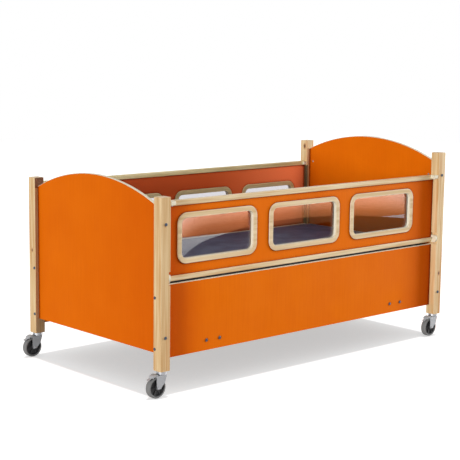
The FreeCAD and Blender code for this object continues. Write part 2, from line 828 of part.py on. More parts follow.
def fork():
    outer = fork_inner + fork_plate
    crown = block(-fork_crown_back, fork_front, -fork_inner, fork_inner, fork_crown_low, fork_crown_high)
    boss = rod(raceway_radius, Vec(0, 0, fork_crown_low), Vec(0, 0, 1), raceway_top - fork_crown_low)
    body = fork_leg(-outer, -fork_inner).fuse([fork_leg(fork_inner, outer), crown, boss])
    bore = rod(kingpin_radius + running_clearance, Vec(0, 0, fork_crown_low - 1), Vec(0, 0, 1), fork_top)
    return body.cut(bore).removeSplitter()


def axle():
    outer = fork_inner + fork_plate
    start = Vec(-castor_trail, -outer - axle_head_height, wheel_radius)
    pin = rod(axle_radius, start, Vec(0, 1, 0), 2 * (outer + axle_head_height))
    heads = [rod(axle_head_radius, start, Vec(0, 1, 0), axle_head_height),
             rod(axle_head_radius, Vec(-castor_trail, outer, wheel_radius), Vec(0, 1, 0), axle_head_height)]
    return pin.fuse(heads).removeSplitter()


def wheel_core():
    # a hub and a rim joined by a thin web, with ribs on both sides of the web
    bore = axle_radius + running_clearance
    rim_inner = rim_radius - rim_wall
    half = [(bore, hub_half_width), (hub_radius, hub_half_width), (hub_radius + hub_root, web_half_width),
            (rim_inner - rim_slope, web_half_width), (rim_inner, rim_half_width),
            (rim_radius, rim_half_width)]
    outline = half + [(r, -y) for r, y in reversed(half)]
    profile = [Vec(-castor_trail + r, y, wheel_radius) for r, y in outline]
    middle = Vec(-castor_trail, 0, wheel_radius)
    core = spun(profile, middle, Vec(0, 1, 0))
    ribs = []
    for step in range(rib_count):
        rib = block((bore + hub_radius) / 2, (rim_inner + rim_radius) / 2, -rib_half_width, rib_half_width,
                    -rib_thickness / 2, rib_thickness / 2)
        rib.rotate(Vec(0, 0, 0), Vec(0, 1, 0), 360 * step / rib_count)
        rib.translate(middle)
        ribs.append(rib)
    return core.fuse(ribs).removeSplitter()


def tyre():
    inner = rim_radius + tyre_fit
    bead = inner + tyre_bead
    bend = tread_radius * (1 - math.sqrt(0.5))
    centre_x = -castor_trail

    def at(radius, y):
        return Vec(centre_x + radius, y, wheel_radius)

    half = wheel_half_width
    corner = at(wheel_radius - bend, half - bend)
    lower_corner = at(wheel_radius - bend, -half + bend)
    edges = [Part.makeLine(at(inner, -rim_half_width), at(inner, rim_half_width)),
             Part.makeLine(at(inner, rim_half_width), at(bead, half)),
             Part.makeLine(at(bead, half), at(wheel_radius - tread_radius, half)),
             Part.Arc(at(wheel_radius - tread_radius, half), corner,
                      at(wheel_radius, half - tread_radius)).toShape(),
             Part.makeLine(at(wheel_radius, half - tread_radius), at(wheel_radius, tread_radius - half)),
             Part.Arc(at(wheel_radius, tread_radius - half), lower_corner,
                      at(wheel_radius - tread_radius, -half)).toShape(),
             Part.makeLine(at(wheel_radius - tread_radius, -half), at(bead, -half)),
             Part.makeLine(at(bead, -half), at(inner, -rim_half_width))]
    ring = Part.Face(Part.Wire(edges))
    return ring.revolve(at(0, 0), Vec(0, 1, 0), 360)


def pedal():
    # a curved guard over the wheel, with a narrow toe and a shoe that meets the tyre
    pivot_x = -pedal_pivot_back
    half = pedal_half_width

    def at(point):
        return Vec(pivot_x + point[0], -half, pedal_pivot_z + point[1])

    crest = [at(point) for point in pedal_crest]
    underside = [crest[-1]] + [at(point) for point in pedal_underside] + [crest[0]]
    edges = [Part.Arc(crest[0], crest[1], crest[2]).toShape()]
    for near, far in zip(underside, underside[1:]):
        edges.append(Part.makeLine(near, far))
    body = Part.Face(Part.Wire(edges)).extrude(Vec(0, 2 * half, 0))
    for sign in (-1, 1):
        body = body.cut(block(pivot_x - 2 * pedal_pivot_back, pivot_x - pedal_toe_start,
                              sign * pedal_toe_half, sign * (half + 1), castor_trail, castor_height))
    return body.cut(rod(pedal_pin_radius + thread_clearance, at((0, 0)), Vec(0, 1, 0), 2 * half))


def pedal_pin():
    reach = fork_inner + fork_plate
    return rod(pedal_pin_radius, Vec(-pedal_pivot_back, -reach, pedal_pivot_z), Vec(0, 1, 0), 2 * reach)


def corner_places():
    return {end + "_" + side: Vec(ends[end] * post_mid_x, sides[side] * post_mid_y, 0)
            for end in ends for side in sides}


def placed(shape, place):
    moved = shape.copy()
    moved.translate(place)
    return moved


# ---- the whole cot ----------------------------------------------------------------------

def all_nodes():
    nodes = {}
    for end in ends:
        for side in sides:
            nodes["post_" + end + "_" + side] = [post(end, side)]
        nodes[end + "_panel"] = [end_panel(end)]
        nodes["cross_bearer_" + end] = [cross_bearer(end)]
        nodes["latch_bolt_" + end] = [latch_bolt(end)]
    for side in sides:
        nodes[side + "_lower_panel"] = [side_lower_panel(side)]
    nodes["gate_panel"] = [gate_panel()]
    nodes["gate_top_rail"] = [gate_top_rail()]
    nodes["gate_bottom_rail"] = [gate_bottom_rail()]
    nodes["gate_window_panes"] = window_panes(gate_window_places(), gate_window_z, gate_window_size,
                                              -side_panel_in_y, -1)
    nodes["gate_window_frames_outer"] = window_frames(gate_window_places(), gate_window_z, gate_window_size,
                                                      -side_panel_out_y, -1)
    nodes["gate_window_frames_inner"] = window_frames(gate_window_places(), gate_window_z, gate_window_size,
                                                      -side_panel_in_y, 1)
    nodes["gate_rail_screws"] = gate_rail_screws()
    nodes["hinge_blocks"] = hinge_blocks()
    nodes["hinge_pins"] = hinge_pins()
    nodes["latch_housings"] = latch_housings()
    nodes["rear_upper_panel"] = [rear_upper_panel()]
    nodes["rear_top_rail"] = [rear_top_rail()]
    nodes["rear_window_panes"] = window_panes(rear_window_places(), rear_window_z, rear_window_size,
                                              rear_upper_in_y, 1)
    nodes["rear_window_frames_inner"] = window_frames(rear_window_places(), rear_window_z, rear_window_size,
                                                      rear_upper_in_y, -1)
    nodes["rear_window_frames_outer"] = window_frames(rear_window_places(), rear_window_z, rear_window_size,
                                                      rear_upper_out_y, 1)
    nodes["rear_rail_screws"] = rear_rail_screws()
    nodes["rear_rail_brackets"] = rear_rail_brackets()
    nodes["rear_panel_dowels"] = rear_dowels()
    nodes["panel_bolts"] = panel_bolts()
    nodes["barrel_nuts"] = barrel_nuts()
    nodes["base_bolts"] = base_bolts()
    nodes["base_nuts"] = base_nuts()
    nodes["deck_rails"] = deck_rails()
    nodes["deck_slats"] = deck_slats()
    nodes["mattress"] = [mattress()]
    places = corner_places()
    nodes["castor_stems"] = [placed(castor_stem(), place) for place in places.values()]
    nodes["swivel_bearings"] = [placed(swivel_bearing(), place) for place in places.values()]
    for corner, place in places.items():
        nodes["fork_" + corner] = [placed(fork(), place)]
        nodes["axle_" + corner] = [placed(axle(), place)]
        nodes["wheel_" + corner] = [placed(wheel_core(), place)]
        nodes["tyre_" + corner] = [placed(tyre(), place)]
        nodes["brake_pedal_" + corner] = [placed(pedal(), place), placed(pedal_pin(), place)]
    return nodes


def save(nodes):
    os.makedirs("parts", exist_ok=True)
    for name, solids in nodes.items():
        whole = solids[0] if len(solids) == 1 else Part.makeCompound(solids)
        whole.exportStep("parts/" + name + ".step")


save(all_nodes())
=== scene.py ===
import bpy
import math
from mathutils import Matrix, Vector


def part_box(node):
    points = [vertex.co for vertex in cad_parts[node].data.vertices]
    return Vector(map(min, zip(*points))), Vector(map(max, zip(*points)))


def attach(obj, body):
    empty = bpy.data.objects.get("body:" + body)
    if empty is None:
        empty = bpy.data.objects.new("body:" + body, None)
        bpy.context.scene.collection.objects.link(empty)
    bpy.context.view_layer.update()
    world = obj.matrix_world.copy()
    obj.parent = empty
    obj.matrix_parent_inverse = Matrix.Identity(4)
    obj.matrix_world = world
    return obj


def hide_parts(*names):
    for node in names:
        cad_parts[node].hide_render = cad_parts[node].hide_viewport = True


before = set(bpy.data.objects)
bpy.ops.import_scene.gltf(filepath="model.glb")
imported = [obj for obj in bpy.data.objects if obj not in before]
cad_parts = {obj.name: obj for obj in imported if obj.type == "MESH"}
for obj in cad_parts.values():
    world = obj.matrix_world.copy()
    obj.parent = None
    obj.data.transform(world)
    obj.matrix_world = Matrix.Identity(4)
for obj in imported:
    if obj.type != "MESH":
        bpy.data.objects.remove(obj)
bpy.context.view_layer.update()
bpy.ops.object.select_all(action="DESELECT")
print("cot: frame loaded")


# colours are written as they look on a screen, 0 to 255
def screenColour(red, green, blue):
    def channel(value):
        share = value / 255
        return share / 12.92 if share <= 0.04045 else ((share + 0.055) / 1.055) ** 2.4
    return (channel(red), channel(green), channel(blue), 1.0)


# small helpers for node trees
def addNode(tree, kind, inputs=None, **settings):
    node = tree.nodes.new(kind)
    for name, value in settings.items():
        setattr(node, name, value)
    for name, value in (inputs or {}).items():
        if isinstance(value, bpy.types.NodeSocket):
            tree.links.new(value, node.inputs[name])
        else:
            node.inputs[name].default_value = value
    return node


def addMath(tree, operation, first, second=0.0, clamp=False):
    node = tree.nodes.new("ShaderNodeMath")
    node.operation = operation
    node.use_clamp = clamp
    for slot, value in enumerate((first, second)):
        if isinstance(value, bpy.types.NodeSocket):
            tree.links.new(value, node.inputs[slot])
        else:
            node.inputs[slot].default_value = value
    return node.outputs[0]


def mixColours(tree, share, first, second):
    node = tree.nodes.new("ShaderNodeMix")
    node.data_type = "RGBA"
    for slot, value in ((0, share), (6, first), (7, second)):
        if isinstance(value, bpy.types.NodeSocket):
            tree.links.new(value, node.inputs[slot])
        else:
            node.inputs[slot].default_value = value
    return node.outputs[2]


def remap(tree, value, fromLow, fromHigh, toLow=0.0, toHigh=1.0):
    node = addNode(tree, "ShaderNodeMapRange", {"Value": value, "From Min": fromLow, "From Max": fromHigh,
                                                "To Min": toLow, "To Max": toHigh})
    return node.outputs["Result"]


def noiseOf(tree, vector, scale, detail=3.0, roughness=0.5):
    node = addNode(tree, "ShaderNodeTexNoise", {"Vector": vector, "Scale": scale, "Detail": detail,
                                                "Roughness": roughness})
    return node.outputs["Fac"]


def stretched(tree, vector, x, y, z):
    node = addNode(tree, "ShaderNodeVectorMath", {0: vector, 1: (x, y, z)}, operation="MULTIPLY")
    return node.outputs["Vector"]


def drawnOut(tree, vector, share):
    # draws a pattern out along Z
    return stretched(tree, vector, 1.0, 1.0, share)


def newGroup(name, inputs, outputs):
    tree = bpy.data.node_groups.new(name, "ShaderNodeTree")
    for socketName, kind, value in inputs:
        socket = tree.interface.new_socket(name=socketName, in_out="INPUT", socket_type=kind)
        if value is not None:
            socket.default_value = value
    for socketName, kind in outputs:
        tree.interface.new_socket(name=socketName, in_out="OUTPUT", socket_type=kind)
    return tree, tree.nodes.new("NodeGroupInput").outputs, tree.nodes.new("NodeGroupOutput").inputs


def useGroup(tree, group, **inputs):
    node = tree.nodes.new("ShaderNodeGroup")
    node.node_tree = group
    for name, value in inputs.items():
        socket = node.inputs[name[0].upper() + name[1:]]
        if isinstance(value, bpy.types.NodeSocket):
            tree.links.new(value, socket)
        else:
            socket.default_value = value
    return node.outputs


vectorKind, floatKind, colourKind = "NodeSocketVector", "NodeSocketFloat", "NodeSocketColor"


# solid wood with its grain along Z: broad tone bands, fine lines and short dark ray flecks
grainShape = {
    "swayStretch": 0.7, "swayScale": 3.0, "swayReach": 0.02, "bandStretch": 0.035, "bandFrom": 0.36, "bandTo": 0.66,
    "lineStretch": 0.012, "lineFrom": 0.42, "lineTo": 0.72, "lineShare": 0.42, "lineDepth": 0.5,
    "poreStretch": 0.16, "poreScale": 1500.0, "poreFrom": 0.66, "poreTo": 0.76,
}


def makeWoodGrain(shape=grainShape):
    tree, given, result = newGroup("woodGrain", [
        ("Position", vectorKind, None), ("Pale", colourKind, (0.8, 0.6, 0.4, 1)),
        ("Deep", colourKind, (0.5, 0.3, 0.2, 1)), ("Fleck", colourKind, (0.3, 0.15, 0.08, 1)),
        ("BandScale", floatKind, 70.0), ("LineScale", floatKind, 420.0), ("FleckAmount", floatKind, 0.35)],
        [("Colour", colourKind), ("Height", floatKind)])
    place = given["Position"]
    sway = noiseOf(tree, drawnOut(tree, place, shape["swayStretch"]), shape["swayScale"], 2.0)
    reach = (shape["swayReach"], shape["swayReach"], 0.0)
    grown = addNode(tree, "ShaderNodeVectorMath", {0: sway, 1: reach, 2: place},
                    operation="MULTIPLY_ADD").outputs["Vector"]
    bands = noiseOf(tree, drawnOut(tree, grown, shape["bandStretch"]), given["BandScale"], 2.0)
    lines = noiseOf(tree, drawnOut(tree, grown, shape["lineStretch"]), given["LineScale"], 3.0, 0.6)
    pores = noiseOf(tree, drawnOut(tree, place, shape["poreStretch"]), shape["poreScale"], 1.0)
    bandShare = remap(tree, bands, shape["bandFrom"], shape["bandTo"])
    lineShare = remap(tree, lines, shape["lineFrom"], shape["lineTo"])
    poreShare = remap(tree, pores, shape["poreFrom"], shape["poreTo"])
    fleckShare = addMath(tree, "MULTIPLY", poreShare, given["FleckAmount"])
    tone = mixColours(tree, bandShare, given["Pale"], given["Deep"])
    tone = mixColours(tree, addMath(tree, "MULTIPLY", lineShare, shape["lineShare"]), tone, given["Deep"])
    tree.links.new(mixColours(tree, fleckShare, tone, given["Fleck"]), result["Colour"])
    dips = addMath(tree, "ADD", addMath(tree, "MULTIPLY", lineShare, shape["lineDepth"]), fleckShare)
    tree.links.new(addMath(tree, "SUBTRACT", 1.0, dips), result["Height"])
    return tree


# 1 near the places where pieces meet, 0 in the open; it marks where shade is painted
def makeCreviceShade():
    tree, given, result = newGroup("creviceShade", [
        ("Position", vectorKind, None), ("Reach", floatKind, 0.1)], [("Mask", floatKind)])
    cover = addNode(tree, "ShaderNodeAmbientOcclusion", {"Distance": given["Reach"]}, samples=6)
    cloud = remap(tree, noiseOf(tree, given["Position"], 14.0, 3.0), 0.3, 0.7, 0.85, 1.0)
    hidden = addMath(tree, "SUBTRACT", 1.0, cover.outputs["AO"])
    tree.links.new(addMath(tree, "MULTIPLY", hidden, cloud, clamp=True), result["Mask"])
    return tree


# the cut edge of plywood: thin layers, pale and dark by turns, across the sheet
def makePlyEdge():
    tree, given, result = newGroup("plyEdge", [
        ("Position", vectorKind, None), ("Across", floatKind, 0.0), ("Layer", floatKind, 0.0014),
        ("Pale", colourKind, (0.8, 0.7, 0.5, 1)), ("Deep", colourKind, (0.5, 0.3, 0.2, 1))],
        [("Colour", colourKind), ("Height", floatKind)])
    turn = addMath(tree, "DIVIDE", given["Across"], given["Layer"])
    wave = addMath(tree, "SINE", addMath(tree, "MULTIPLY", turn, math.pi))
    layers = remap(tree, wave, -0.35, 0.35)
    fibre = noiseOf(tree, given["Position"], 900.0, 2.0)
    share = addMath(tree, "MULTIPLY", layers, remap(tree, fibre, 0.3, 0.7, 0.35, 0.75))
    tree.links.new(mixColours(tree, share, given["Pale"], given["Deep"]), result["Colour"])
    tree.links.new(addMath(tree, "SUBTRACT", 1.0, share), result["Height"])
    return tree


# handling marks: broad soft smudges and a little dust, as a change of roughness
handlingShape = {"broadFrom": 0.35, "broadTo": 0.65, "broadShare": 0.75, "dustScale": 240.0}


def makeHandling(shape=handlingShape):
    tree, given, result = newGroup("handling", [
        ("Position", vectorKind, None), ("Low", floatKind, 0.3), ("High", floatKind, 0.5),
        ("Scale", floatKind, 6.0)], [("Rough", floatKind), ("Mask", floatKind)])
    broad = noiseOf(tree, given["Position"], given["Scale"], 4.0, 0.6)
    smudges = remap(tree, broad, shape["broadFrom"], shape["broadTo"])
    dust = noiseOf(tree, given["Position"], shape["dustScale"], 2.0)
    mask = addMath(tree, "ADD", addMath(tree, "MULTIPLY", smudges, shape["broadShare"]),
                   addMath(tree, "MULTIPLY", dust, 1 - shape["broadShare"]))
    tree.links.new(mask, result["Mask"])
    node = addNode(tree, "ShaderNodeMapRange", {"Value": mask})
    tree.links.new(given["Low"], node.inputs["To Min"])
    tree.links.new(given["High"], node.inputs["To Max"])
    tree.links.new(node.outputs["Result"], result["Rough"])
    return tree


# a mask that is 1 on outside edges, from the surface's own bend, less where chipped; it carries wear on metal,
# nylon, posts and rails, and a painted highlight along the window frames' bevels
edgeMaskShape = {"bendFrom": 0.995, "bendTo": 0.86, "chipScale": 260.0, "chipFrom": 0.42, "chipTo": 0.62}


def makeEdgeWearAndHighlight(shape=edgeMaskShape):
    tree, given, result = newGroup("edgeWearAndHighlight", [
        ("Position", vectorKind, None), ("Reach", floatKind, 0.002), ("Chips", floatKind, 1.0)],
        [("Mask", floatKind)])
    bevel = addNode(tree, "ShaderNodeBevel", {"Radius": given["Reach"]}, samples=4)
    geometry = addNode(tree, "ShaderNodeNewGeometry")
    dot = addNode(tree, "ShaderNodeVectorMath", {0: bevel.outputs["Normal"],
                                                 1: geometry.outputs["True Normal"]},
                  operation="DOT_PRODUCT")
    edge = remap(tree, dot.outputs["Value"], shape["bendFrom"], shape["bendTo"])
    chips = noiseOf(tree, given["Position"], shape["chipScale"], 3.0)
    chips = remap(tree, chips, shape["chipFrom"], shape["chipTo"])
    lost = addMath(tree, "MULTIPLY", addMath(tree, "SUBTRACT", 1.0, chips), given["Chips"])
    tree.links.new(addMath(tree, "MULTIPLY", edge, addMath(tree, "SUBTRACT", 1.0, lost)), result["Mask"])
    return tree


woodGrain = makeWoodGrain()
plyEdge = makePlyEdge()
handling = makeHandling()
edgeWearAndHighlight = makeEdgeWearAndHighlight()
creviceShade = makeCreviceShade()


def startMaterial(name):
    material = bpy.data.materials.new(name)
    material.use_nodes = True
    tree = material.node_tree
    tree.nodes.clear()
    output = tree.nodes.new("ShaderNodeOutputMaterial")
    shader = tree.nodes.new("ShaderNodeBsdfPrincipled")
    tree.links.new(shader.outputs["BSDF"], output.inputs["Surface"])
    place = tree.nodes.new("ShaderNodeTexCoord").outputs["Object"]
    return material, tree, shader, place


def insideBox(tree, place, low, high):
    # 1 inside the box, 0 outside it
    parts = addNode(tree, "ShaderNodeSeparateXYZ", {"Vector": place}).outputs
    share = 1.0
    for axis in range(3):
        share = addMath(tree, "MULTIPLY", share, addMath(tree, "GREATER_THAN", parts[axis], low[axis]))
        share = addMath(tree, "MULTIPLY", share, addMath(tree, "LESS_THAN", parts[axis], high[axis]))
    return share


def bumpFrom(tree, height, shader, strength, distance):
    bump = addNode(tree, "ShaderNodeBump", {"Height": height, "Strength": strength, "Distance": distance})
    tree.links.new(bump.outputs["Normal"], shader.inputs["Normal"])


def alongGrain(tree, place, axis):
    # turns the board's own direction to Z
    turn = {"X": (0, math.radians(90), 0), "Y": (math.radians(90), 0, 0), "Z": (0, 0, 0)}[axis]
    return addNode(tree, "ShaderNodeMapping", {"Vector": place, "Rotation": turn}).outputs["Vector"]


beechLook = {
    "pale": screenColour(236, 209, 162), "deep": screenColour(208, 163, 106),
    "fleck": screenColour(150, 98, 58), "fleckAmount": 0.35, "bandScale": 75.0, "lineScale": 430.0,
    "roughLow": 0.34, "roughHigh": 0.48, "bump": 0.25, "bumpDepth": 0.0003, "coat": 0.06, "coatRough": 0.3,
    "shine": 0.25, "streak": screenColour(204, 132, 70), "streakScale": 34.0, "streakStretch": 0.02,
    "streakFrom": 0.54, "streakTo": 0.68, "streakShare": 0.5,
    "edgeTone": screenColour(238, 232, 204), "edgeReach": 0.0025, "edgeShare": 0.5, "edgeChips": 0.25,
    "sideTone": screenColour(196, 148, 92), "sideShare": 0.0, "sideFrom": 0.45, "sideTo": 0.75, "shadeBoxes": (),
    "knots": (), "knotTone": screenColour(92, 56, 34), "knotRing": screenColour(176, 112, 62),
    "knotStretch": 0.62, "knotRingReach": 1.9, "knotRingShare": 0.7, "knotHeart": 0.55,
}


def beech(name, axis, look=beechLook):
    material, tree, shader, place = startMaterial(name)
    run = alongGrain(tree, place, axis)
    grain = useGroup(tree, woodGrain, position=run, pale=look["pale"], deep=look["deep"],
                     fleck=look["fleck"], bandScale=look["bandScale"], lineScale=look["lineScale"],
                     fleckAmount=look["fleckAmount"])
    marks = useGroup(tree, handling, position=place, low=look["roughLow"], high=look["roughHigh"])
    # a few warm streaks run the length of the board
    veins = noiseOf(tree, drawnOut(tree, run, look["streakStretch"]), look["streakScale"], 4.0, 0.65)
    veins = remap(tree, veins, look["streakFrom"], look["streakTo"])
    tone = mixColours(tree, addMath(tree, "MULTIPLY", veins, look["streakShare"]), grain["Colour"], look["streak"])
    # painted shade: the faces that look along Y are a little deeper than the faces beside them
    facing = tree.nodes.new("ShaderNodeTexCoord").outputs["Normal"]
    parts = addNode(tree, "ShaderNodeSeparateXYZ", {"Vector": facing}).outputs
    shadedSide = remap(tree, addMath(tree, "ABSOLUTE", parts["Y"]), look["sideFrom"], look["sideTo"], 0.0,
                     look["sideShare"])
    tone = mixColours(tree, shadedSide, tone, look["sideTone"])
    # painted shade in the boxes given with the posts
    for low, high, shadeTone, share in look["shadeBoxes"]:
        inside = addMath(tree, "MULTIPLY", insideBox(tree, place, low, high), share)
        tone = mixColours(tree, inside, tone, shadeTone)
    for spot, reach in look["knots"]:
        away = addNode(tree, "ShaderNodeVectorMath", {0: place, 1: spot}, operation="SUBTRACT").outputs["Vector"]
        away = addNode(tree, "ShaderNodeVectorMath", {0: drawnOut(tree, away, look["knotStretch"])},
                       operation="LENGTH").outputs["Value"]
        ring = remap(tree, away, reach * look["knotRingReach"], reach, 0.0, look["knotRingShare"])
        heart = remap(tree, away, reach, reach * look["knotHeart"])
        tone = mixColours(tree, heart, mixColours(tree, ring, tone, look["knotRing"]), look["knotTone"])
    # pale worn edges; on the window frames the wide, strong pale edge is a painted highlight along the bevels
    edgeMask = useGroup(tree, edgeWearAndHighlight, position=place, reach=look["edgeReach"], chips=look["edgeChips"])
    tone = mixColours(tree, addMath(tree, "MULTIPLY", edgeMask["Mask"], look["edgeShare"]), tone, look["edgeTone"])
    tree.links.new(tone, shader.inputs["Base Color"])
    tree.links.new(marks["Rough"], shader.inputs["Roughness"])
    shader.inputs["Coat Weight"].default_value = look["coat"]
    shader.inputs["Specular IOR Level"].default_value = look["shine"]
    shader.inputs["Coat Roughness"].default_value = look["coatRough"]
    bumpFrom(tree, grain["Height"], shader, look["bump"], look["bumpDepth"])
    return material


# painted shade and sheen are set here: the red-brown tone near posts and rails, and the end tone near the sheets'
# ends
laminateLook = {
    "orange": screenColour(233, 112, 6), "orangeDeep": screenColour(227, 106, 4),
    "edgePale": screenColour(242, 238, 220), "edgeDeep": screenColour(214, 188, 146),
    "grimeAndShade": screenColour(120, 34, 0), "broadReach": 0.14, "broadShare": 0.8, "closeReach": 0.018,
    "closeShare": 3.6, "endTone": screenColour(184, 46, 0), "endShare": 0.0, "endAxis": "X",
    "endFrom": 0.66, "endTo": 0.965, "bothEnds": True, "endSign": -1.0, "shadedInside": None,
    "layer": 0.0014, "skin": 0.0004, "roughLow": 0.36, "roughHigh": 0.5, "edgeRough": 0.2,
    "mottleScale": 5.0, "mottleShare": 0.6, "mottleFrom": 0.35, "mottleTo": 0.65,
    "streakScale": 160.0, "streakStretch": 0.03,
    "peelScale": 900.0, "bump": 0.12, "bumpDepth": 0.0002, "shine": 0.03,
}


def laminate(name, node, axis, look=laminateLook):
    # orange on both faces of the sheet, bare plywood on its edges
    material, tree, shader, place = startMaterial(name)
    shader.inputs["Specular IOR Level"].default_value = look["shine"]
    low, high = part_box(node)
    middle = (low["XYZ".index(axis)] + high["XYZ".index(axis)]) / 2
    half = (high["XYZ".index(axis)] - low["XYZ".index(axis)]) / 2
    parts = addNode(tree, "ShaderNodeSeparateXYZ", {"Vector": place}).outputs
    across = addMath(tree, "SUBTRACT", parts[axis], middle)
    face = addMath(tree, "GREATER_THAN", addMath(tree, "ABSOLUTE", across), half - look["skin"])
    mottle = noiseOf(tree, place, look["mottleScale"], 3.0)
    streaks = noiseOf(tree, drawnOut(tree, place, look["streakStretch"]), look["streakScale"], 2.0)
    share = addMath(tree, "ADD", addMath(tree, "MULTIPLY", mottle, look["mottleShare"]),
                    addMath(tree, "MULTIPLY", streaks, 1 - look["mottleShare"]))
    share = remap(tree, share, look["mottleFrom"], look["mottleTo"])
    orange = mixColours(tree, share, look["orange"], look["orangeDeep"])
    # painted shade: the colour deepens towards the posts at the ends of the sheets; on the rear sheet a lighter end
    # tone, on its inner face only, is a painted sheen towards the head end
    along = parts[look["endAxis"]]
    if look["bothEnds"]:
        along = addMath(tree, "ABSOLUTE", along)
    else:
        along = addMath(tree, "MULTIPLY", along, look["endSign"])
    end = addNode(tree, "ShaderNodeMapRange", {"Value": along, "From Min": look["endFrom"],
                                               "From Max": look["endTo"], "To Max": look["endShare"]},
                  interpolation_type="SMOOTHSTEP")
    endShare = end.outputs["Result"]
    if look["shadedInside"]:
        # painted shade on the face that looks into the cot
        inner = addMath(tree, "LESS_THAN", across, 0.0)
        orange = mixColours(tree, inner, orange, look["shadedInside"])
        endShare = addMath(tree, "MULTIPLY", endShare, inner)
    orange = mixColours(tree, endShare, orange, look["endTone"])
    # painted shade near the posts and rails, and in a narrow band under the rails
    for reach, amount in ((look["broadReach"], look["broadShare"]), (look["closeReach"], look["closeShare"])):
        grimeAndShade = useGroup(tree, creviceShade, position=place, reach=reach)["Mask"]
        orange = mixColours(tree, addMath(tree, "MULTIPLY", grimeAndShade, amount, clamp=True), orange, look["grimeAndShade"])
    edge = useGroup(tree, plyEdge, position=place, across=across, layer=look["layer"],
                    pale=look["edgePale"], deep=look["edgeDeep"])
    tree.links.new(mixColours(tree, face, edge["Colour"], orange), shader.inputs["Base Color"])
    marks = useGroup(tree, handling, position=place, low=look["roughLow"], high=look["roughHigh"])
    onEdge = addMath(tree, "SUBTRACT", 1.0, face)
    edgeRough = addMath(tree, "MULTIPLY", onEdge, look["edgeRough"])
    tree.links.new(addMath(tree, "ADD", marks["Rough"], edgeRough), shader.inputs["Roughness"])
    peel = noiseOf(tree, place, look["peelScale"], 1.0)
    height = addMath(tree, "ADD", addMath(tree, "MULTIPLY", face, peel),
                     addMath(tree, "MULTIPLY", onEdge, edge["Height"]))
    bumpFrom(tree, height, shader, look["bump"], look["bumpDepth"])
    return material


paneLook = {"tint": screenColour(226, 226, 232), "ior": 1.45, "roughness": 0.0}


def clearPane(look=paneLook):
    material, tree, shader = startMaterial("clearPane")[:3]
    shader.inputs["Base Color"].default_value = look["tint"]
    shader.inputs["Transmission Weight"].default_value = 1.0
    shader.inputs["IOR"].default_value = look["ior"]
    shader.inputs["Roughness"].default_value = look["roughness"]
    return material


nylonLook = {"colour": screenColour(232, 224, 200), "grimeAndShade": screenColour(208, 194, 160), "grimeShare": 0.35,
             "wornTone": (0.9, 0.88, 0.84, 1), "wornShare": 0.4, "wornReach": 0.0012, "roughLow": 0.42,
             "roughHigh": 0.6, "inside": 0.1, "insideReach": (0.004, 0.003, 0.002), "grainScale": 1400.0,
             "bump": 0.15, "bumpDepth": 0.0002}


def paleNylon(look=nylonLook):
    material, tree, shader, place = startMaterial("paleNylon")
    marks = useGroup(tree, handling, position=place, low=look["roughLow"], high=look["roughHigh"], scale=40.0)
    edgeMask = useGroup(tree, edgeWearAndHighlight, position=place, reach=look["wornReach"])
    tone = mixColours(tree, addMath(tree, "MULTIPLY", marks["Mask"], look["grimeShare"]), look["colour"],
                      look["grimeAndShade"])
    tone = mixColours(tree, addMath(tree, "MULTIPLY", edgeMask["Mask"], look["wornShare"]), tone, look["wornTone"])
    tree.links.new(tone, shader.inputs["Base Color"])
    tree.links.new(marks["Rough"], shader.inputs["Roughness"])
    shader.inputs["Subsurface Weight"].default_value = look["inside"]
    shader.inputs["Subsurface Radius"].default_value = look["insideReach"]
    bumpFrom(tree, noiseOf(tree, place, look["grainScale"], 1.0), shader, look["bump"], look["bumpDepth"])
    return material


def plainMetal(name, colour, wornColour, low=0.42, high=0.56, reach=0.0008, brushed=(1.0, 1.0, 0.1), metallic=1.0):
    material, tree, shader, place = startMaterial(name)
    marks = useGroup(tree, handling, position=place, low=low, high=high, scale=60.0)
    edgeMask = useGroup(tree, edgeWearAndHighlight, position=place, reach=reach)
    flow = noiseOf(tree, stretched(tree, place, *brushed), 500.0, 2.0)
    tone = mixColours(tree, addMath(tree, "MULTIPLY", flow, 0.3), colour, (0.12, 0.12, 0.13, 1))
    tree.links.new(mixColours(tree, edgeMask["Mask"], tone, wornColour), shader.inputs["Base Color"])
    shader.inputs["Metallic"].default_value = metallic
    tree.links.new(marks["Rough"], shader.inputs["Roughness"])
    bumpFrom(tree, flow, shader, 0.1, 0.0001)
    return material


def powderCoat(name, colour, wornColour):
    material, tree, shader, place = startMaterial(name)
    edgeMask = useGroup(tree, edgeWearAndHighlight, position=place, reach=0.0015)
    marks = useGroup(tree, handling, position=place, low=0.45, high=0.6)
    tone = mixColours(tree, addMath(tree, "MULTIPLY", edgeMask["Mask"], 0.5), colour, wornColour)
    tree.links.new(tone, shader.inputs["Base Color"])
    tree.links.new(marks["Rough"], shader.inputs["Roughness"])
    bumpFrom(tree, noiseOf(tree, place, 1100.0, 2.0), shader, 0.2, 0.0003)
    return material


def mouldedPlastic(name, colour, dust, low, high):
    material, tree, shader, place = startMaterial(name)
    marks = useGroup(tree, handling, position=place, low=low, high=high, scale=50.0)
    tone = mixColours(tree, addMath(tree, "MULTIPLY", marks["Mask"], 0.25), colour, dust)
    tree.links.new(tone, shader.inputs["Base Color"])
    tree.links.new(marks["Rough"], shader.inputs["Roughness"])
    bumpFrom(tree, noiseOf(tree, place, 1600.0, 1.0), shader, 0.15, 0.0002)
    return material


coverLook = {"navy": screenColour(24, 66, 106), "navyDeep": screenColour(10, 46, 82),
             "weave": 150.0, "creaseScale": 9.0, "roughLow": 0.42, "roughHigh": 0.58, "sheen": 0.15,
             "weaveShare": 0.3, "bump": 0.2, "bumpDepth": 0.0003}


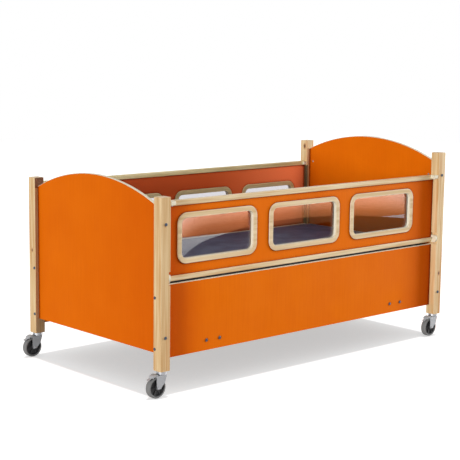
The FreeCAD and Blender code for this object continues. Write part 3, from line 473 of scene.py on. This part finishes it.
def mattressCover(look=coverLook):
    material, tree, shader, place = startMaterial("mattressCover")
    threads = [addNode(tree, "ShaderNodeTexWave", {"Vector": place, "Scale": look["weave"]}, wave_type="BANDS",
                       bands_direction=direction).outputs["Fac"] for direction in "XY"]
    weave = addMath(tree, "MULTIPLY", *threads)
    creases = noiseOf(tree, place, look["creaseScale"], 4.0, 0.6)
    share = remap(tree, creases, 0.35, 0.65)
    tree.links.new(mixColours(tree, share, look["navy"], look["navyDeep"]), shader.inputs["Base Color"])
    tree.links.new(remap(tree, creases, 0.3, 0.7, look["roughLow"], look["roughHigh"]), shader.inputs["Roughness"])
    shader.inputs["Sheen Weight"].default_value = look["sheen"]
    height = addMath(tree, "ADD", addMath(tree, "MULTIPLY", weave, look["weaveShare"]),
                     addMath(tree, "MULTIPLY", share, 1 - look["weaveShare"]))
    bumpFrom(tree, height, shader, look["bump"], look["bumpDepth"])
    return material


print("cot: finishes made")

# each painted shade on the posts: lowest and highest corner, colour, share
postShades = (
    ((-1.03, 0.47, 0.885), (-0.96, 0.4832, 0.95), screenColour(76, 36, 20), 0.85),  # rear foot post, its top
    ((-1.018, -0.545, 0.1), (-0.96, -0.535, 0.95), screenColour(196, 146, 88), 0.2),  # front foot post, outer face
    ((-1.03, 0.47, 0.1), (-0.96, 0.4832, 0.95), screenColour(128, 66, 36), 0.42),  # rear foot post, inner face
    ((0.96, 0.47, 0.1), (0.975, 0.5028, 0.888), screenColour(46, 42, 18), 0.9),  # rear head post, inner corner
)
# each knot: its middle and how far it reaches
postKnots = (((0.968, 0.505, 1.004), 0.008), ((1.0, -0.5385, 0.358), 0.006), ((-1.0, -0.5385, 0.81), 0.004),
             ((-1.023, 0.512, 0.56), 0.005))
uprightBeech = beech("uprightBeech", "Z", dict(beechLook, sideShare=0.05, streakShare=0.65, shadeBoxes=postShades,
                                               knots=postKnots))
longBeech = beech("longBeech", "X", dict(beechLook, pale=screenColour(240, 222, 184), streakShare=0.3,
                                         deep=screenColour(216, 180, 128), edgeShare=0.7))
rearBeech = beech("rearBeech", "X", dict(beechLook, pale=screenColour(242, 230, 180), streakShare=0.2,
                                         deep=screenColour(218, 200, 140), edgeShare=0.6))
# the window frames' wide pale edge is a painted highlight along their bevels
frameLook = dict(beechLook, pale=screenColour(240, 216, 176), deep=screenColour(218, 186, 138), fleckAmount=0.3,
                 bandScale=50.0, streakShare=0.12, edgeTone=screenColour(242, 244, 222), edgeReach=0.005,
                 edgeShare=0.85)
frameBeech = beech("frameBeech", "X", frameLook)
rearFrame = beech("rearFrame", "X", dict(frameLook, pale=screenColour(240, 228, 178),
                                         deep=screenColour(218, 200, 142), edgeTone=screenColour(228, 226, 180)))
deckWood = beech("deckWood", "Y", dict(beechLook, pale=screenColour(226, 200, 152), coat=0.0,
                                       roughLow=0.55, roughHigh=0.7))
zincSteel = plainMetal("zincSteel", screenColour(188, 190, 194), screenColour(220, 220, 222), low=0.32, high=0.46)
forkSteel = plainMetal("forkSteel", screenColour(172, 174, 177), screenColour(206, 207, 209), metallic=0.55)
pedalSteel = plainMetal("pedalSteel", screenColour(190, 193, 196), screenColour(226, 227, 228),
                        brushed=(0.1, 1.0, 1.0), metallic=0.05)
boltSteel = plainMetal("boltSteel", screenColour(78, 90, 108), screenColour(150, 158, 170), low=0.34, high=0.46,
                       reach=0.0006, brushed=(1.0, 1.0, 1.0), metallic=0.6)
baseSteel = powderCoat("baseSteel", screenColour(150, 153, 156), screenColour(196, 198, 200))
wheelCore = mouldedPlastic("wheelCore", screenColour(34, 34, 36), screenColour(70, 70, 70), low=0.4, high=0.55)
greyTyre = mouldedPlastic("greyTyre", screenColour(122, 122, 122), screenColour(146, 144, 140), low=0.6, high=0.75)

slotMaterials = {
    "post_beech": uprightBeech, "rail_beech": longBeech, "frame_beech": frameBeech,
    "clear_pane": clearPane(), "pale_nylon": paleNylon(), "zinc_steel": zincSteel,
    "bolt_steel": boltSteel, "base_steel": baseSteel, "deck_wood": deckWood,
    "mattress_cover": mattressCover(), "wheel_core": wheelCore, "grey_tyre": greyTyre,
    "dowel_wood": longBeech,
}
panelAxes = {"foot_panel": "X", "head_panel": "X", "front_lower_panel": "Y", "rear_lower_panel": "Y",
             "gate_panel": "Y", "rear_upper_panel": "Y"}

# pieces that differ from the rest of their slot
ownMaterials = {"rear_top_rail": rearBeech, "rear_window_frames_inner": rearFrame}
for corner in ("foot_front", "foot_rear", "head_front", "head_rear"):
    ownMaterials["fork_" + corner] = forkSteel
    ownMaterials["brake_pedal_" + corner] = pedalSteel

# the front sheets are a little brighter, painted as lit, with painted shade near the posts; the foot sheet has
# painted shade towards its front; the rear sheet's inner face is painted shaded, with a painted sheen towards the
# head end
frontSheet = dict(laminateLook, endShare=0.5, broadShare=1.3, orange=screenColour(240, 118, 4),
                  orangeDeep=screenColour(234, 111, 2))
footSheet = dict(laminateLook, endShare=0.22, endAxis="Y", endFrom=-0.15, endTo=0.5, bothEnds=False)
rearSheet = dict(laminateLook, shadedInside=screenColour(188, 80, 38), endTone=screenColour(244, 132, 84), endShare=0.65,
                 endFrom=0.1, endTo=0.95, endSign=1.0, bothEnds=False)
sheetLooks = {"front_lower_panel": frontSheet, "gate_panel": frontSheet, "foot_panel": footSheet,
              "rear_upper_panel": rearSheet}

for nodeName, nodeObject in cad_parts.items():
    for materialSlot in nodeObject.material_slots:
        slotName = materialSlot.material.name.split(".")[0] if materialSlot.material else ""
        if nodeName in panelAxes:
            materialSlot.material = laminate(nodeName + "Laminate", nodeName, panelAxes[nodeName],
                                             sheetLooks.get(nodeName, laminateLook))
        elif slotName in slotMaterials:
            materialSlot.material = ownMaterials.get(nodeName, slotMaterials[slotName])
        else:
            print("cot: no finish for", nodeName, slotName)
print("cot: finishes given to the frame")


def selectOnly(piece, kind, wanted):
    # picks the parts of a mesh for which wanted is true, then goes to edit mode
    bpy.ops.object.mode_set(mode="EDIT")
    bpy.ops.mesh.select_all(action="DESELECT")
    bpy.ops.mesh.select_mode(type=kind)
    bpy.ops.object.mode_set(mode="OBJECT")
    parts = {"VERT": piece.data.vertices, "EDGE": piece.data.edges, "FACE": piece.data.polygons}[kind]
    for part in parts:
        part.select = wanted(part)
    bpy.ops.object.mode_set(mode="EDIT")


# button head bolts with washers and hexagon sockets, in place of the plain ones
boltLook = {"head": 0.0064, "headHeight": 0.0027, "round": 0.0011, "socket": 0.0031, "socketDepth": 0.0016,
            "washer": 0.0078, "washerHeight": 0.0008, "sides": 36, "shankSides": 20, "smooth": 35.0}


def makeBoltHead(name, shank, length, look=boltLook):
    # stands on Z, with the face that it is screwed against at zero
    bpy.ops.object.select_all(action="DESELECT")
    top = look["washerHeight"] + look["headHeight"]
    bpy.ops.mesh.primitive_cylinder_add(vertices=look["sides"], radius=look["head"], depth=look["headHeight"],
                                        location=(0, 0, top - look["headHeight"] / 2))
    head = bpy.context.object
    head.name = name
    bpy.ops.object.transform_apply(location=True, rotation=True, scale=True)
    rim = top - 0.0001
    selectOnly(head, "EDGE", lambda edge: all(head.data.vertices[index].co.z > rim for index in edge.vertices))
    bpy.ops.mesh.bevel(offset=look["round"], segments=3)
    bpy.ops.object.mode_set(mode="OBJECT")
    selectOnly(head, "FACE", lambda face: face.normal.z > 0.99 and face.center.z > rim)
    bpy.ops.mesh.inset(thickness=look["head"] - look["round"] - look["socket"])
    bpy.ops.mesh.extrude_region_move(TRANSFORM_OT_translate={"value": (0, 0, -look["socketDepth"])})
    bpy.ops.object.mode_set(mode="OBJECT")
    sixth = math.radians(60)
    for vertex in head.data.vertices:
        reach = math.hypot(vertex.co.x, vertex.co.y)
        if 0 < reach < look["socket"] * 1.05 and vertex.co.z > look["washerHeight"] + 0.0001:
            corner = math.atan2(vertex.co.y, vertex.co.x) % sixth - sixth / 2
            grow = look["socket"] * math.cos(sixth / 2) / math.cos(corner) / reach
            vertex.co.x *= grow
            vertex.co.y *= grow
    bpy.ops.mesh.primitive_cylinder_add(vertices=look["sides"], radius=look["washer"], depth=look["washerHeight"],
                                        location=(0, 0, look["washerHeight"] / 2))
    washer = bpy.context.object
    bpy.ops.mesh.primitive_cylinder_add(vertices=look["shankSides"], radius=shank, depth=length,
                                        location=(0, 0, -length / 2))
    rod = bpy.context.object
    for part in (head, washer, rod):
        part.select_set(True)
    bpy.context.view_layer.objects.active = head
    bpy.ops.object.join()
    bpy.ops.object.transform_apply(location=True, rotation=True, scale=True)
    return head


def makeBolts(name, node, shank, length, places, look=boltLook):
    # one bolt is made and copied to each place, and all of them are one piece
    first = makeBoltHead(name, shank, length)
    pattern = first.data.copy()
    bpy.ops.object.select_all(action="DESELECT")
    for number, (spot, outward, turn) in enumerate(places):
        bolt = first
        if number:
            bolt = bpy.data.objects.new(name, pattern.copy())
            bpy.context.scene.collection.objects.link(bolt)
        facing = Vector(outward).to_track_quat("Z", "Y").to_matrix().to_4x4()
        bolt.data.transform(Matrix.Translation(Vector(spot)) @ facing @ Matrix.Rotation(turn, 4, "Z"))
        bolt.select_set(True)
    bpy.context.view_layer.objects.active = first
    bpy.ops.object.join()
    bpy.ops.object.shade_smooth_by_angle(angle=math.radians(look["smooth"]))
    bpy.data.meshes.remove(pattern)
    first.data.materials.clear()
    first.data.materials.append(boltSteel)
    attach(first, "frame")
    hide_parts(node)


# heights of the bolts in the posts, and the pairs low on the side panels, each turned a little differently
boltRows = {"foot": (0.2835, 0.813), "head": (0.2515, 0.914), "side": (0.227, 0.469), "base": 0.225,
            "apart": 0.085, "endTurn": 40, "sideTurn": 70, "baseTurn": 30}


def boltPlaces(rows=boltRows):
    # read off the posts and panels that the bolts hold
    through, base = [], []
    for end, endSign in (("foot", -1), ("head", 1)):
        endMiddle = sum(corner.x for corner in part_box(end + "_panel")) / 2
        bearerMiddle = sum(corner.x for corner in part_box("cross_bearer_" + end)) / 2
        for side, sideSign in (("front", -1), ("rear", 1)):
            low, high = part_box("post_" + end + "_" + side)
            panelLow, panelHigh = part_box(side + "_lower_panel")
            outerX, outerY = (low.x, high.x)[endSign > 0], (low.y, high.y)[sideSign > 0]
            for level in rows[end]:
                through.append(((endMiddle, outerY, level), (0, sideSign, 0), level * rows["endTurn"]))
            for level in rows["side"]:
                through.append(((outerX, (panelLow.y + panelHigh.y) / 2, level), (endSign, 0, 0),
                                level * rows["sideTurn"]))
            faceY = (panelLow.y, panelHigh.y)[sideSign > 0]
            for shift in (-rows["apart"] / 2, rows["apart"] / 2):
                base.append(((bearerMiddle + shift, faceY, rows["base"]), (0, sideSign, 0),
                             shift * rows["baseTurn"]))
    return through, base


throughPlaces, basePlaces = boltPlaces()
makeBolts("throughBolts", "panel_bolts", shank=0.003, length=0.07, places=throughPlaces)
makeBolts("baseBolts", "base_bolts", shank=0.004, length=0.03, places=basePlaces)
print("cot: bolts made")


# the mattress: a boxed pad swelled by a cloth simulation, with pale piping round both edges
mattressLook = {
    "inset": 0.003, "low": 0.4008, "high": 0.5295, "corner": 0.05, "cornerSteps": 6, "voxel": 0.0135,
    "pressure": 4.0, "frames": 20, "cap": 0.017, "heavy": 6.0, "sideCap": 0.003, "sinkCap": 0.0008, "lowBand": 0.02,
    "rest": 0.0004, "fill": 0.85,
}


def startPad(look=mattressLook):
    low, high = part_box("mattress")
    middle = (low + high) / 2
    size = (high.x - low.x - 2 * look["inset"], high.y - low.y - 2 * look["inset"], look["high"] - look["low"])
    bpy.ops.object.select_all(action="DESELECT")
    bpy.ops.mesh.primitive_cube_add(size=1.0, location=(middle.x, middle.y, (look["low"] + look["high"]) / 2),
                                    scale=size)
    pad = bpy.context.object
    pad.name = "mattressPad"
    bpy.ops.object.transform_apply(location=True, rotation=True, scale=True)
    corners = pad.data.vertices

    def upright(edge):
        first, second = [corners[index].co for index in edge.vertices]
        return abs(first.x - second.x) < 0.001 and abs(first.y - second.y) < 0.001

    selectOnly(pad, "EDGE", upright)
    bpy.ops.mesh.bevel(offset=look["corner"], segments=look["cornerSteps"])
    bpy.ops.object.mode_set(mode="OBJECT")
    remesh = pad.modifiers.new("remesh", "REMESH")
    remesh.mode = "VOXEL"
    remesh.voxel_size = look["voxel"]
    bpy.ops.object.modifier_apply(modifier="remesh")
    return pad, middle, size


def swellPad(pad, floorLevel, look=mattressLook):
    starts = [vertex.co.copy() for vertex in pad.data.vertices]
    held = pad.vertex_groups.new(name="held")
    held.add([index for index, start in enumerate(starts) if start.z < look["low"] + look["lowBand"]],
             1.0, "REPLACE")
    swell = pad.modifiers.new("swell", "CLOTH")
    swell.settings.use_pressure = True
    swell.settings.uniform_pressure_force = look["pressure"]
    swell.settings.vertex_group_mass = "held"
    swell.settings.mass = look["heavy"]
    swell.settings.effector_weights.gravity = 0
    swell.point_cache.frame_end = look["frames"]
    for frameNumber in range(1, look["frames"] + 1):
        bpy.context.scene.frame_set(frameNumber)
    bpy.ops.object.modifier_apply(modifier="swell")
    bpy.context.scene.frame_set(1)
    # the cover holds the pad in, so each way has a soft cap
    furthest = 0.0
    for vertex, start in zip(pad.data.vertices, starts):
        move = vertex.co - start
        furthest = max(furthest, move.length)
        rise = look["cap"] if move.z > 0 else look["sinkCap"]
        for axis, cap in ((0, look["sideCap"]), (1, look["sideCap"]), (2, rise)):
            move[axis] = math.copysign(cap * (1 - math.exp(-abs(move[axis]) / cap)), move[axis])
        vertex.co = start + move
        vertex.co.z = max(vertex.co.z, floorLevel + look["rest"])
    print("cot: mattress swelled by up to", round(furthest * 1000, 1), "mm before its cap")


def finishPad(pad):
    smooth = pad.modifiers.new("smooth", "SUBSURF")
    smooth.levels = smooth.render_levels = 1
    bpy.ops.object.modifier_apply(modifier="smooth")
    bpy.ops.object.shade_smooth()
    pad.data.materials.clear()
    pad.data.materials.append(slotMaterials["mattress_cover"])
    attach(pad, "frame")
    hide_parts("mattress")


pipingLook = {
    "colour": screenColour(214, 212, 190), "deep": screenColour(186, 182, 156), "dark": screenColour(30, 30, 36),
    "darkLow": (-0.95, -0.49, 0.38), "darkHigh": (0.95, -0.455, 0.56), "weave": 700.0, "rough": 0.6,
    "radius": 0.0042, "sink": 0.0022, "top": 0.5264, "bottom": 0.4052, "cornerSteps": 10,
    "bump": 0.2, "bumpDepth": 0.0003,
}


def pipingCloth(look=pipingLook):
    material, tree, shader, place = startMaterial("mattressPiping")
    weave = noiseOf(tree, place, look["weave"], 2.0)
    tone = mixColours(tree, weave, look["colour"], look["deep"])
    # painted shade: darker along the gate, where the piping lies in the shade of the gap
    gateSide = insideBox(tree, place, look["darkLow"], look["darkHigh"])
    tree.links.new(mixColours(tree, gateSide, tone, look["dark"]), shader.inputs["Base Color"])
    shader.inputs["Roughness"].default_value = look["rough"]
    bumpFrom(tree, weave, shader, look["bump"], look["bumpDepth"])
    return material


def makePiping(name, level, middle, size, corner, material, look=pipingLook):
    bpy.ops.object.select_all(action="DESELECT")
    bpy.ops.mesh.primitive_plane_add(size=1.0, location=(0, 0, 0))
    piping = bpy.context.object
    piping.name = name
    piping.scale = (size[0] - 2 * look["sink"], size[1] - 2 * look["sink"], 1.0)
    piping.location = (middle.x, middle.y, level)
    bpy.ops.object.transform_apply(location=True, rotation=True, scale=True)
    bpy.ops.object.mode_set(mode="EDIT")
    bpy.ops.mesh.select_all(action="SELECT")
    bpy.ops.mesh.bevel(offset=corner, segments=look["cornerSteps"], affect="VERTICES")
    bpy.ops.mesh.select_all(action="SELECT")
    bpy.ops.mesh.delete(type="ONLY_FACE")
    bpy.ops.object.mode_set(mode="OBJECT")
    bpy.ops.object.convert(target="CURVE")
    piping.data.bevel_depth = look["radius"]
    piping.data.bevel_resolution = 3
    bpy.ops.object.convert(target="MESH")
    piping = bpy.context.object
    bpy.ops.object.shade_smooth()
    piping.data.materials.clear()
    piping.data.materials.append(material)
    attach(piping, "frame")


def makeMattress():
    pad, middle, size = startPad()
    swellPad(pad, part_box("mattress")[0].z)
    finishPad(pad)
    material = pipingCloth()
    for name, level in (("pipingTop", pipingLook["top"]), ("pipingBottom", pipingLook["bottom"])):
        makePiping(name, level, middle, size, mattressLook["corner"], material)


makeMattress()
print("cot: mattress made")


# floor, lamps and camera
def seenDirectly(tree):
    # 1 for what the camera, metal and glass see, 0 for the light that falls on things
    path = addNode(tree, "ShaderNodeLightPath").outputs
    mirrored = addMath(tree, "MAXIMUM", path["Is Glossy Ray"], path["Is Transmission Ray"])
    return path["Is Camera Ray"], addMath(tree, "MAXIMUM", path["Is Camera Ray"], mirrored)


def useSurface(tree, surface):
    output = next(node for node in tree.nodes if node.type == "OUTPUT_MATERIAL")
    tree.links.new(surface, output.inputs["Surface"])


floorLook = {"size": 24.0, "colour": (0.8, 0.8, 0.8, 1.0), "bounce": (0.42, 0.41, 0.4, 1.0), "rough": 0.9,
             "glow": 0.49, "open": 0.19, "reach": 2.0}


def makeFloor(look=floorLook):
    bpy.ops.mesh.primitive_plane_add(size=look["size"], location=(0, 0, 0))
    floor = bpy.context.object
    floor.name = "studioFloor"
    material, tree, shader = startMaterial("studioFloor")[:3]
    shader.inputs["Roughness"].default_value = look["rough"]
    shader.inputs["Specular IOR Level"].default_value = 0.0
    byCamera, seen = seenDirectly(tree)
    tree.links.new(mixColours(tree, byCamera, look["bounce"], look["colour"]), shader.inputs["Base Color"])
    # the paper's glow is painted darker where the cot covers it: a painted shadow
    cover = addNode(tree, "ShaderNodeAmbientOcclusion", {"Distance": look["reach"]}, samples=8)
    level = remap(tree, cover.outputs["AO"], 0.0, 1.0, look["glow"], look["glow"] + look["open"])
    glow = addNode(tree, "ShaderNodeEmission", {"Strength": addMath(tree, "MULTIPLY", seen, level)})
    both = tree.nodes.new("ShaderNodeAddShader")
    tree.links.new(shader.outputs["BSDF"], both.inputs[0])
    tree.links.new(glow.outputs["Emission"], both.inputs[1])
    useSurface(tree, both.outputs["Shader"])
    floor.data.materials.append(material)
    return floor


# how far the shade reaches past the mattress, along and across, and how far below its middle it lies
shadeLook = {"along": 0.034, "across": 0.026, "under": 0.01}


def makeShade(look=shadeLook):
    # stops the overhead lamp in the narrow gap round the mattress
    low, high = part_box("mattress")
    bpy.ops.mesh.primitive_plane_add(size=1.0, location=(0, 0, 0))
    shade = bpy.context.object
    shade.name = "gapShade"
    shade.scale = (high.x - low.x + look["along"], high.y - low.y + look["across"], 1.0)
    shade.location = ((low.x + high.x) / 2, (low.y + high.y) / 2, (low.z + high.z) / 2 - look["under"])
    bpy.ops.object.transform_apply(location=True, rotation=True, scale=True)
    shade.visible_camera = shade.visible_diffuse = shade.visible_glossy = shade.visible_transmission = False


def makeWorld(light=0.34):
    world = bpy.data.worlds.new("studio")
    bpy.context.scene.world = world
    world.use_nodes = True
    tree = world.node_tree
    tree.nodes.clear()
    strength = remap(tree, seenDirectly(tree)[1], 0.0, 1.0, light, 1.0)
    background = addNode(tree, "ShaderNodeBackground", {"Color": (1, 1, 1, 1), "Strength": strength})
    output = tree.nodes.new("ShaderNodeOutputWorld")
    tree.links.new(background.outputs["Background"], output.inputs["Surface"])


# around is counted from the head end towards the gate side, and all angles are in degrees
lampLook = {
    "overheadLamp": {"light": 1.35, "spread": 1.2, "around": 0.0, "height": 87.8},
    "keyLamp": {"light": 2.04, "spread": 11.0, "around": 165.0, "height": 5.0},
    "frontLamp": {"light": 3.8, "spread": 18.0, "around": 14.0, "height": 6.5},
    "softLamp": {"light": 0.37, "spread": 20.0, "around": 60.0, "height": 60.0},
}
rearLampLook = {"light": 9.0, "size": 0.5, "from": (1.0, -0.5, 1.7), "at": (0.75, 0.5, 0.8)}
lampAway = 6.0


def sunLamp(name, look):
    turn, rise = math.radians(look["around"]), math.radians(look["height"])
    toLamp = Vector((math.cos(turn) * math.cos(rise), -math.sin(turn) * math.cos(rise), math.sin(rise)))
    lamp = bpy.data.lights.new(name, "SUN")
    lamp.energy = look["light"]
    lamp.angle = math.radians(look["spread"])
    return hangLamp(name, lamp, toLamp * lampAway, -toLamp)


def hangLamp(name, lamp, place, facing):
    holder = bpy.data.objects.new(name, lamp)
    holder.location = place
    holder.rotation_euler = facing.to_track_quat("-Z", "Y").to_euler()
    bpy.context.scene.collection.objects.link(holder)
    return holder


def shineOn(holder, thing, only):
    # the lamp lights only that thing, or all but that thing
    lit = bpy.data.collections.new(holder.name + "Lit")
    lit.objects.link(thing)
    if not only:
        lit.collection_objects[0].light_linking.link_state = "EXCLUDE"
    holder.light_linking.receiver_collection = lit


def makeLamps(floor, looks=lampLook, rear=rearLampLook):
    for name, look in looks.items():
        shineOn(sunLamp(name, look), floor, name == "overheadLamp")
    spot = bpy.data.lights.new("rearLamp", "AREA")
    spot.energy, spot.size = rear["light"], rear["size"]
    holder = hangLamp("rearLamp", spot, rear["from"], Vector(rear["at"]) - Vector(rear["from"]))
    shineOn(holder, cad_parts["rear_upper_panel"], True)


# a studio card that only the clear panes mirror, glowing with a painted reflection whose colours are written as the
# panes return them; its picture is drawn at the panes' own size, then enlarged and shifted so that the camera's view
# lines up
reflectorLook = {
    "away": -3.0, "low": 0.0, "high": 0.85, "left": 0.75, "right": 4.5,
    "enlarge": 1.55997, "shift": (-1.67402, 0.0, 0.59541),
    "edge": ((-1.0, 0.51), (-0.85, 0.641), (-0.78, 0.682), (-0.714, 0.705), (-0.587, 0.727), (-0.43, 0.748),
             (-0.12, 0.759), (0.25, 0.742), (0.742, 0.688), (1.0, 0.65)),
    "edgeLow": 0.5, "edgeHigh": 0.8, "edgeSoft": 0.0015,
    "lift": 0.05, "liftFrom": -0.845, "liftTo": -0.48,
    "warm": ((0.0, (0.2, 0.082, 0.031, 1)), (0.03, (0.3, 0.115, 0.046, 1)), (0.055, (0.45, 0.2, 0.1, 1)),
             (0.085, (0.6, 0.29, 0.175, 1)), (0.13, (0.66, 0.42, 0.31, 1))),
    "warmReach": 0.15, "bedHeight": 0.721, "bedSlope": -0.015, "bedFade": 0.075,
    "pale": (0.27, 0.27, 0.26, 1), "paleLow": (0.16, 0.16, 0.16, 1), "haze": (0.036, 0.025, 0.011, 1), "bedEnd": 0.3,
    "mirrorShare": (0.077, 0.099), "mirrorFrom": -0.85, "mirrorTo": 0.75,
}


def makeReflector(look=reflectorLook):
    width, height = look["right"] - look["left"], look["high"] - look["low"]
    bpy.ops.mesh.primitive_plane_add(size=1.0, location=(0, 0, 0), rotation=(math.radians(-90), 0, 0))
    card = bpy.context.object
    card.name = "paneReflector"
    card.scale = (width, height, 1.0)
    card.location = (look["left"] + width / 2, look["away"], look["low"] + height / 2)
    bpy.ops.object.transform_apply(location=True, rotation=True, scale=True)
    material, tree, shader, place = startMaterial("paneReflector")
    drawn = addNode(tree, "ShaderNodeVectorMath", {0: place, 1: (1 / look["enlarge"],) * 3, 2: look["shift"]},
                    operation="MULTIPLY_ADD")
    parts = addNode(tree, "ShaderNodeSeparateXYZ", {"Vector": drawn.outputs["Vector"]}).outputs
    ends = look["edge"][0][0], look["edge"][-1][0]
    curve = addNode(tree, "ShaderNodeFloatCurve", {"Value": remap(tree, parts["X"], *ends)})
    points = curve.mapping.curves[0].points
    rise = look["edgeHigh"] - look["edgeLow"]
    shares = [((x - ends[0]) / (ends[1] - ends[0]), (z - look["edgeLow"]) / rise) for x, z in look["edge"]]
    points[0].location, points[1].location = shares[0], shares[-1]
    for share in shares[1:-1]:
        points.new(*share)
    curve.mapping.update()
    edge = remap(tree, curve.outputs["Value"], 0.0, 1.0, look["edgeLow"], look["edgeHigh"])
    above = addMath(tree, "SUBTRACT", parts["Z"], edge)
    lift = remap(tree, parts["X"], look["liftFrom"], look["liftTo"], look["lift"], 0.0)
    ramp = addNode(tree, "ShaderNodeValToRGB", {
        "Fac": addMath(tree, "DIVIDE", addMath(tree, "SUBTRACT", above, lift), look["warmReach"], clamp=True)})
    stops = ramp.color_ramp.elements
    stops[0].color = look["warm"][0][1]
    stops[1].position, stops[1].color = look["warm"][-1][0] / look["warmReach"], look["warm"][-1][1]
    for climb, tone in look["warm"][1:-1]:
        stops.new(climb / look["warmReach"]).color = tone
    bedLine = addMath(tree, "ADD", addMath(tree, "MULTIPLY", parts["X"], look["bedSlope"]), look["bedHeight"])
    overBed = addMath(tree, "SUBTRACT", parts["Z"], bedLine)
    pale = mixColours(tree, remap(tree, overBed, -look["bedFade"], 0.0), look["paleLow"], look["pale"])
    tone = mixColours(tree, addMath(tree, "LESS_THAN", overBed, 0.0), ramp.outputs["Color"], pale)
    bed = addMath(tree, "MULTIPLY", addMath(tree, "LESS_THAN", overBed, 0.0),
                  addMath(tree, "LESS_THAN", parts["X"], look["bedEnd"]))
    under = mixColours(tree, bed, look["haze"], (0, 0, 0, 1))
    seen = remap(tree, above, -look["edgeSoft"], look["edgeSoft"])
    gain = remap(tree, parts["X"], look["mirrorFrom"], look["mirrorTo"], 1 / look["mirrorShare"][0],
                 1 / look["mirrorShare"][1])
    glow = addNode(tree, "ShaderNodeEmission", {"Color": mixColours(tree, seen, under, tone),
                                                "Strength": gain})
    useSurface(tree, glow.outputs["Emission"])
    tree.nodes.remove(shader)
    card.data.materials.append(material)
    card.visible_camera = False
    card.visible_diffuse = False
    card.visible_shadow = False
    mirrors = bpy.data.collections.new("paneMirrors")
    for name in ("gate_window_panes", "rear_window_panes"):
        mirrors.objects.link(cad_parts[name])
    card.light_linking.receiver_collection = mirrors


cameraFit = {"place": (-4.6635, -4.9741, 1.6587), "turn": 42.481, "dip": 8.571, "roll": -0.7387,
             "focal": 1277.05, "frameWidth": 460.0, "sensor": 36.0}


def makeCamera(fit=cameraFit):
    turn, dip, roll = [math.radians(fit[name]) for name in ("turn", "dip", "roll")]
    forward = Vector((math.sin(turn) * math.cos(dip), math.cos(turn) * math.cos(dip), -math.sin(dip)))
    level = Vector((math.cos(turn), -math.sin(turn), 0.0))
    below = forward.cross(level)
    right = level * math.cos(roll) + below * math.sin(roll)
    down = below * math.cos(roll) - level * math.sin(roll)
    lens = bpy.data.cameras.new("camera")
    lens.sensor_width = fit["sensor"]
    lens.lens = fit["focal"] / fit["frameWidth"] * fit["sensor"]
    lens.clip_end = 100.0
    camera = bpy.data.objects.new("camera", lens)
    axes = Matrix((right, -down, -forward)).transposed()
    camera.matrix_world = Matrix.Translation(Vector(fit["place"])) @ axes.to_4x4()
    bpy.context.scene.collection.objects.link(camera)
    bpy.context.scene.camera = camera


studioFloor = makeFloor()
makeShade()
makeWorld()
makeLamps(studioFloor)
makeReflector()
makeCamera()
bpy.context.scene.view_settings.view_transform = "Standard"
print("cot: floor, lamps and camera set")
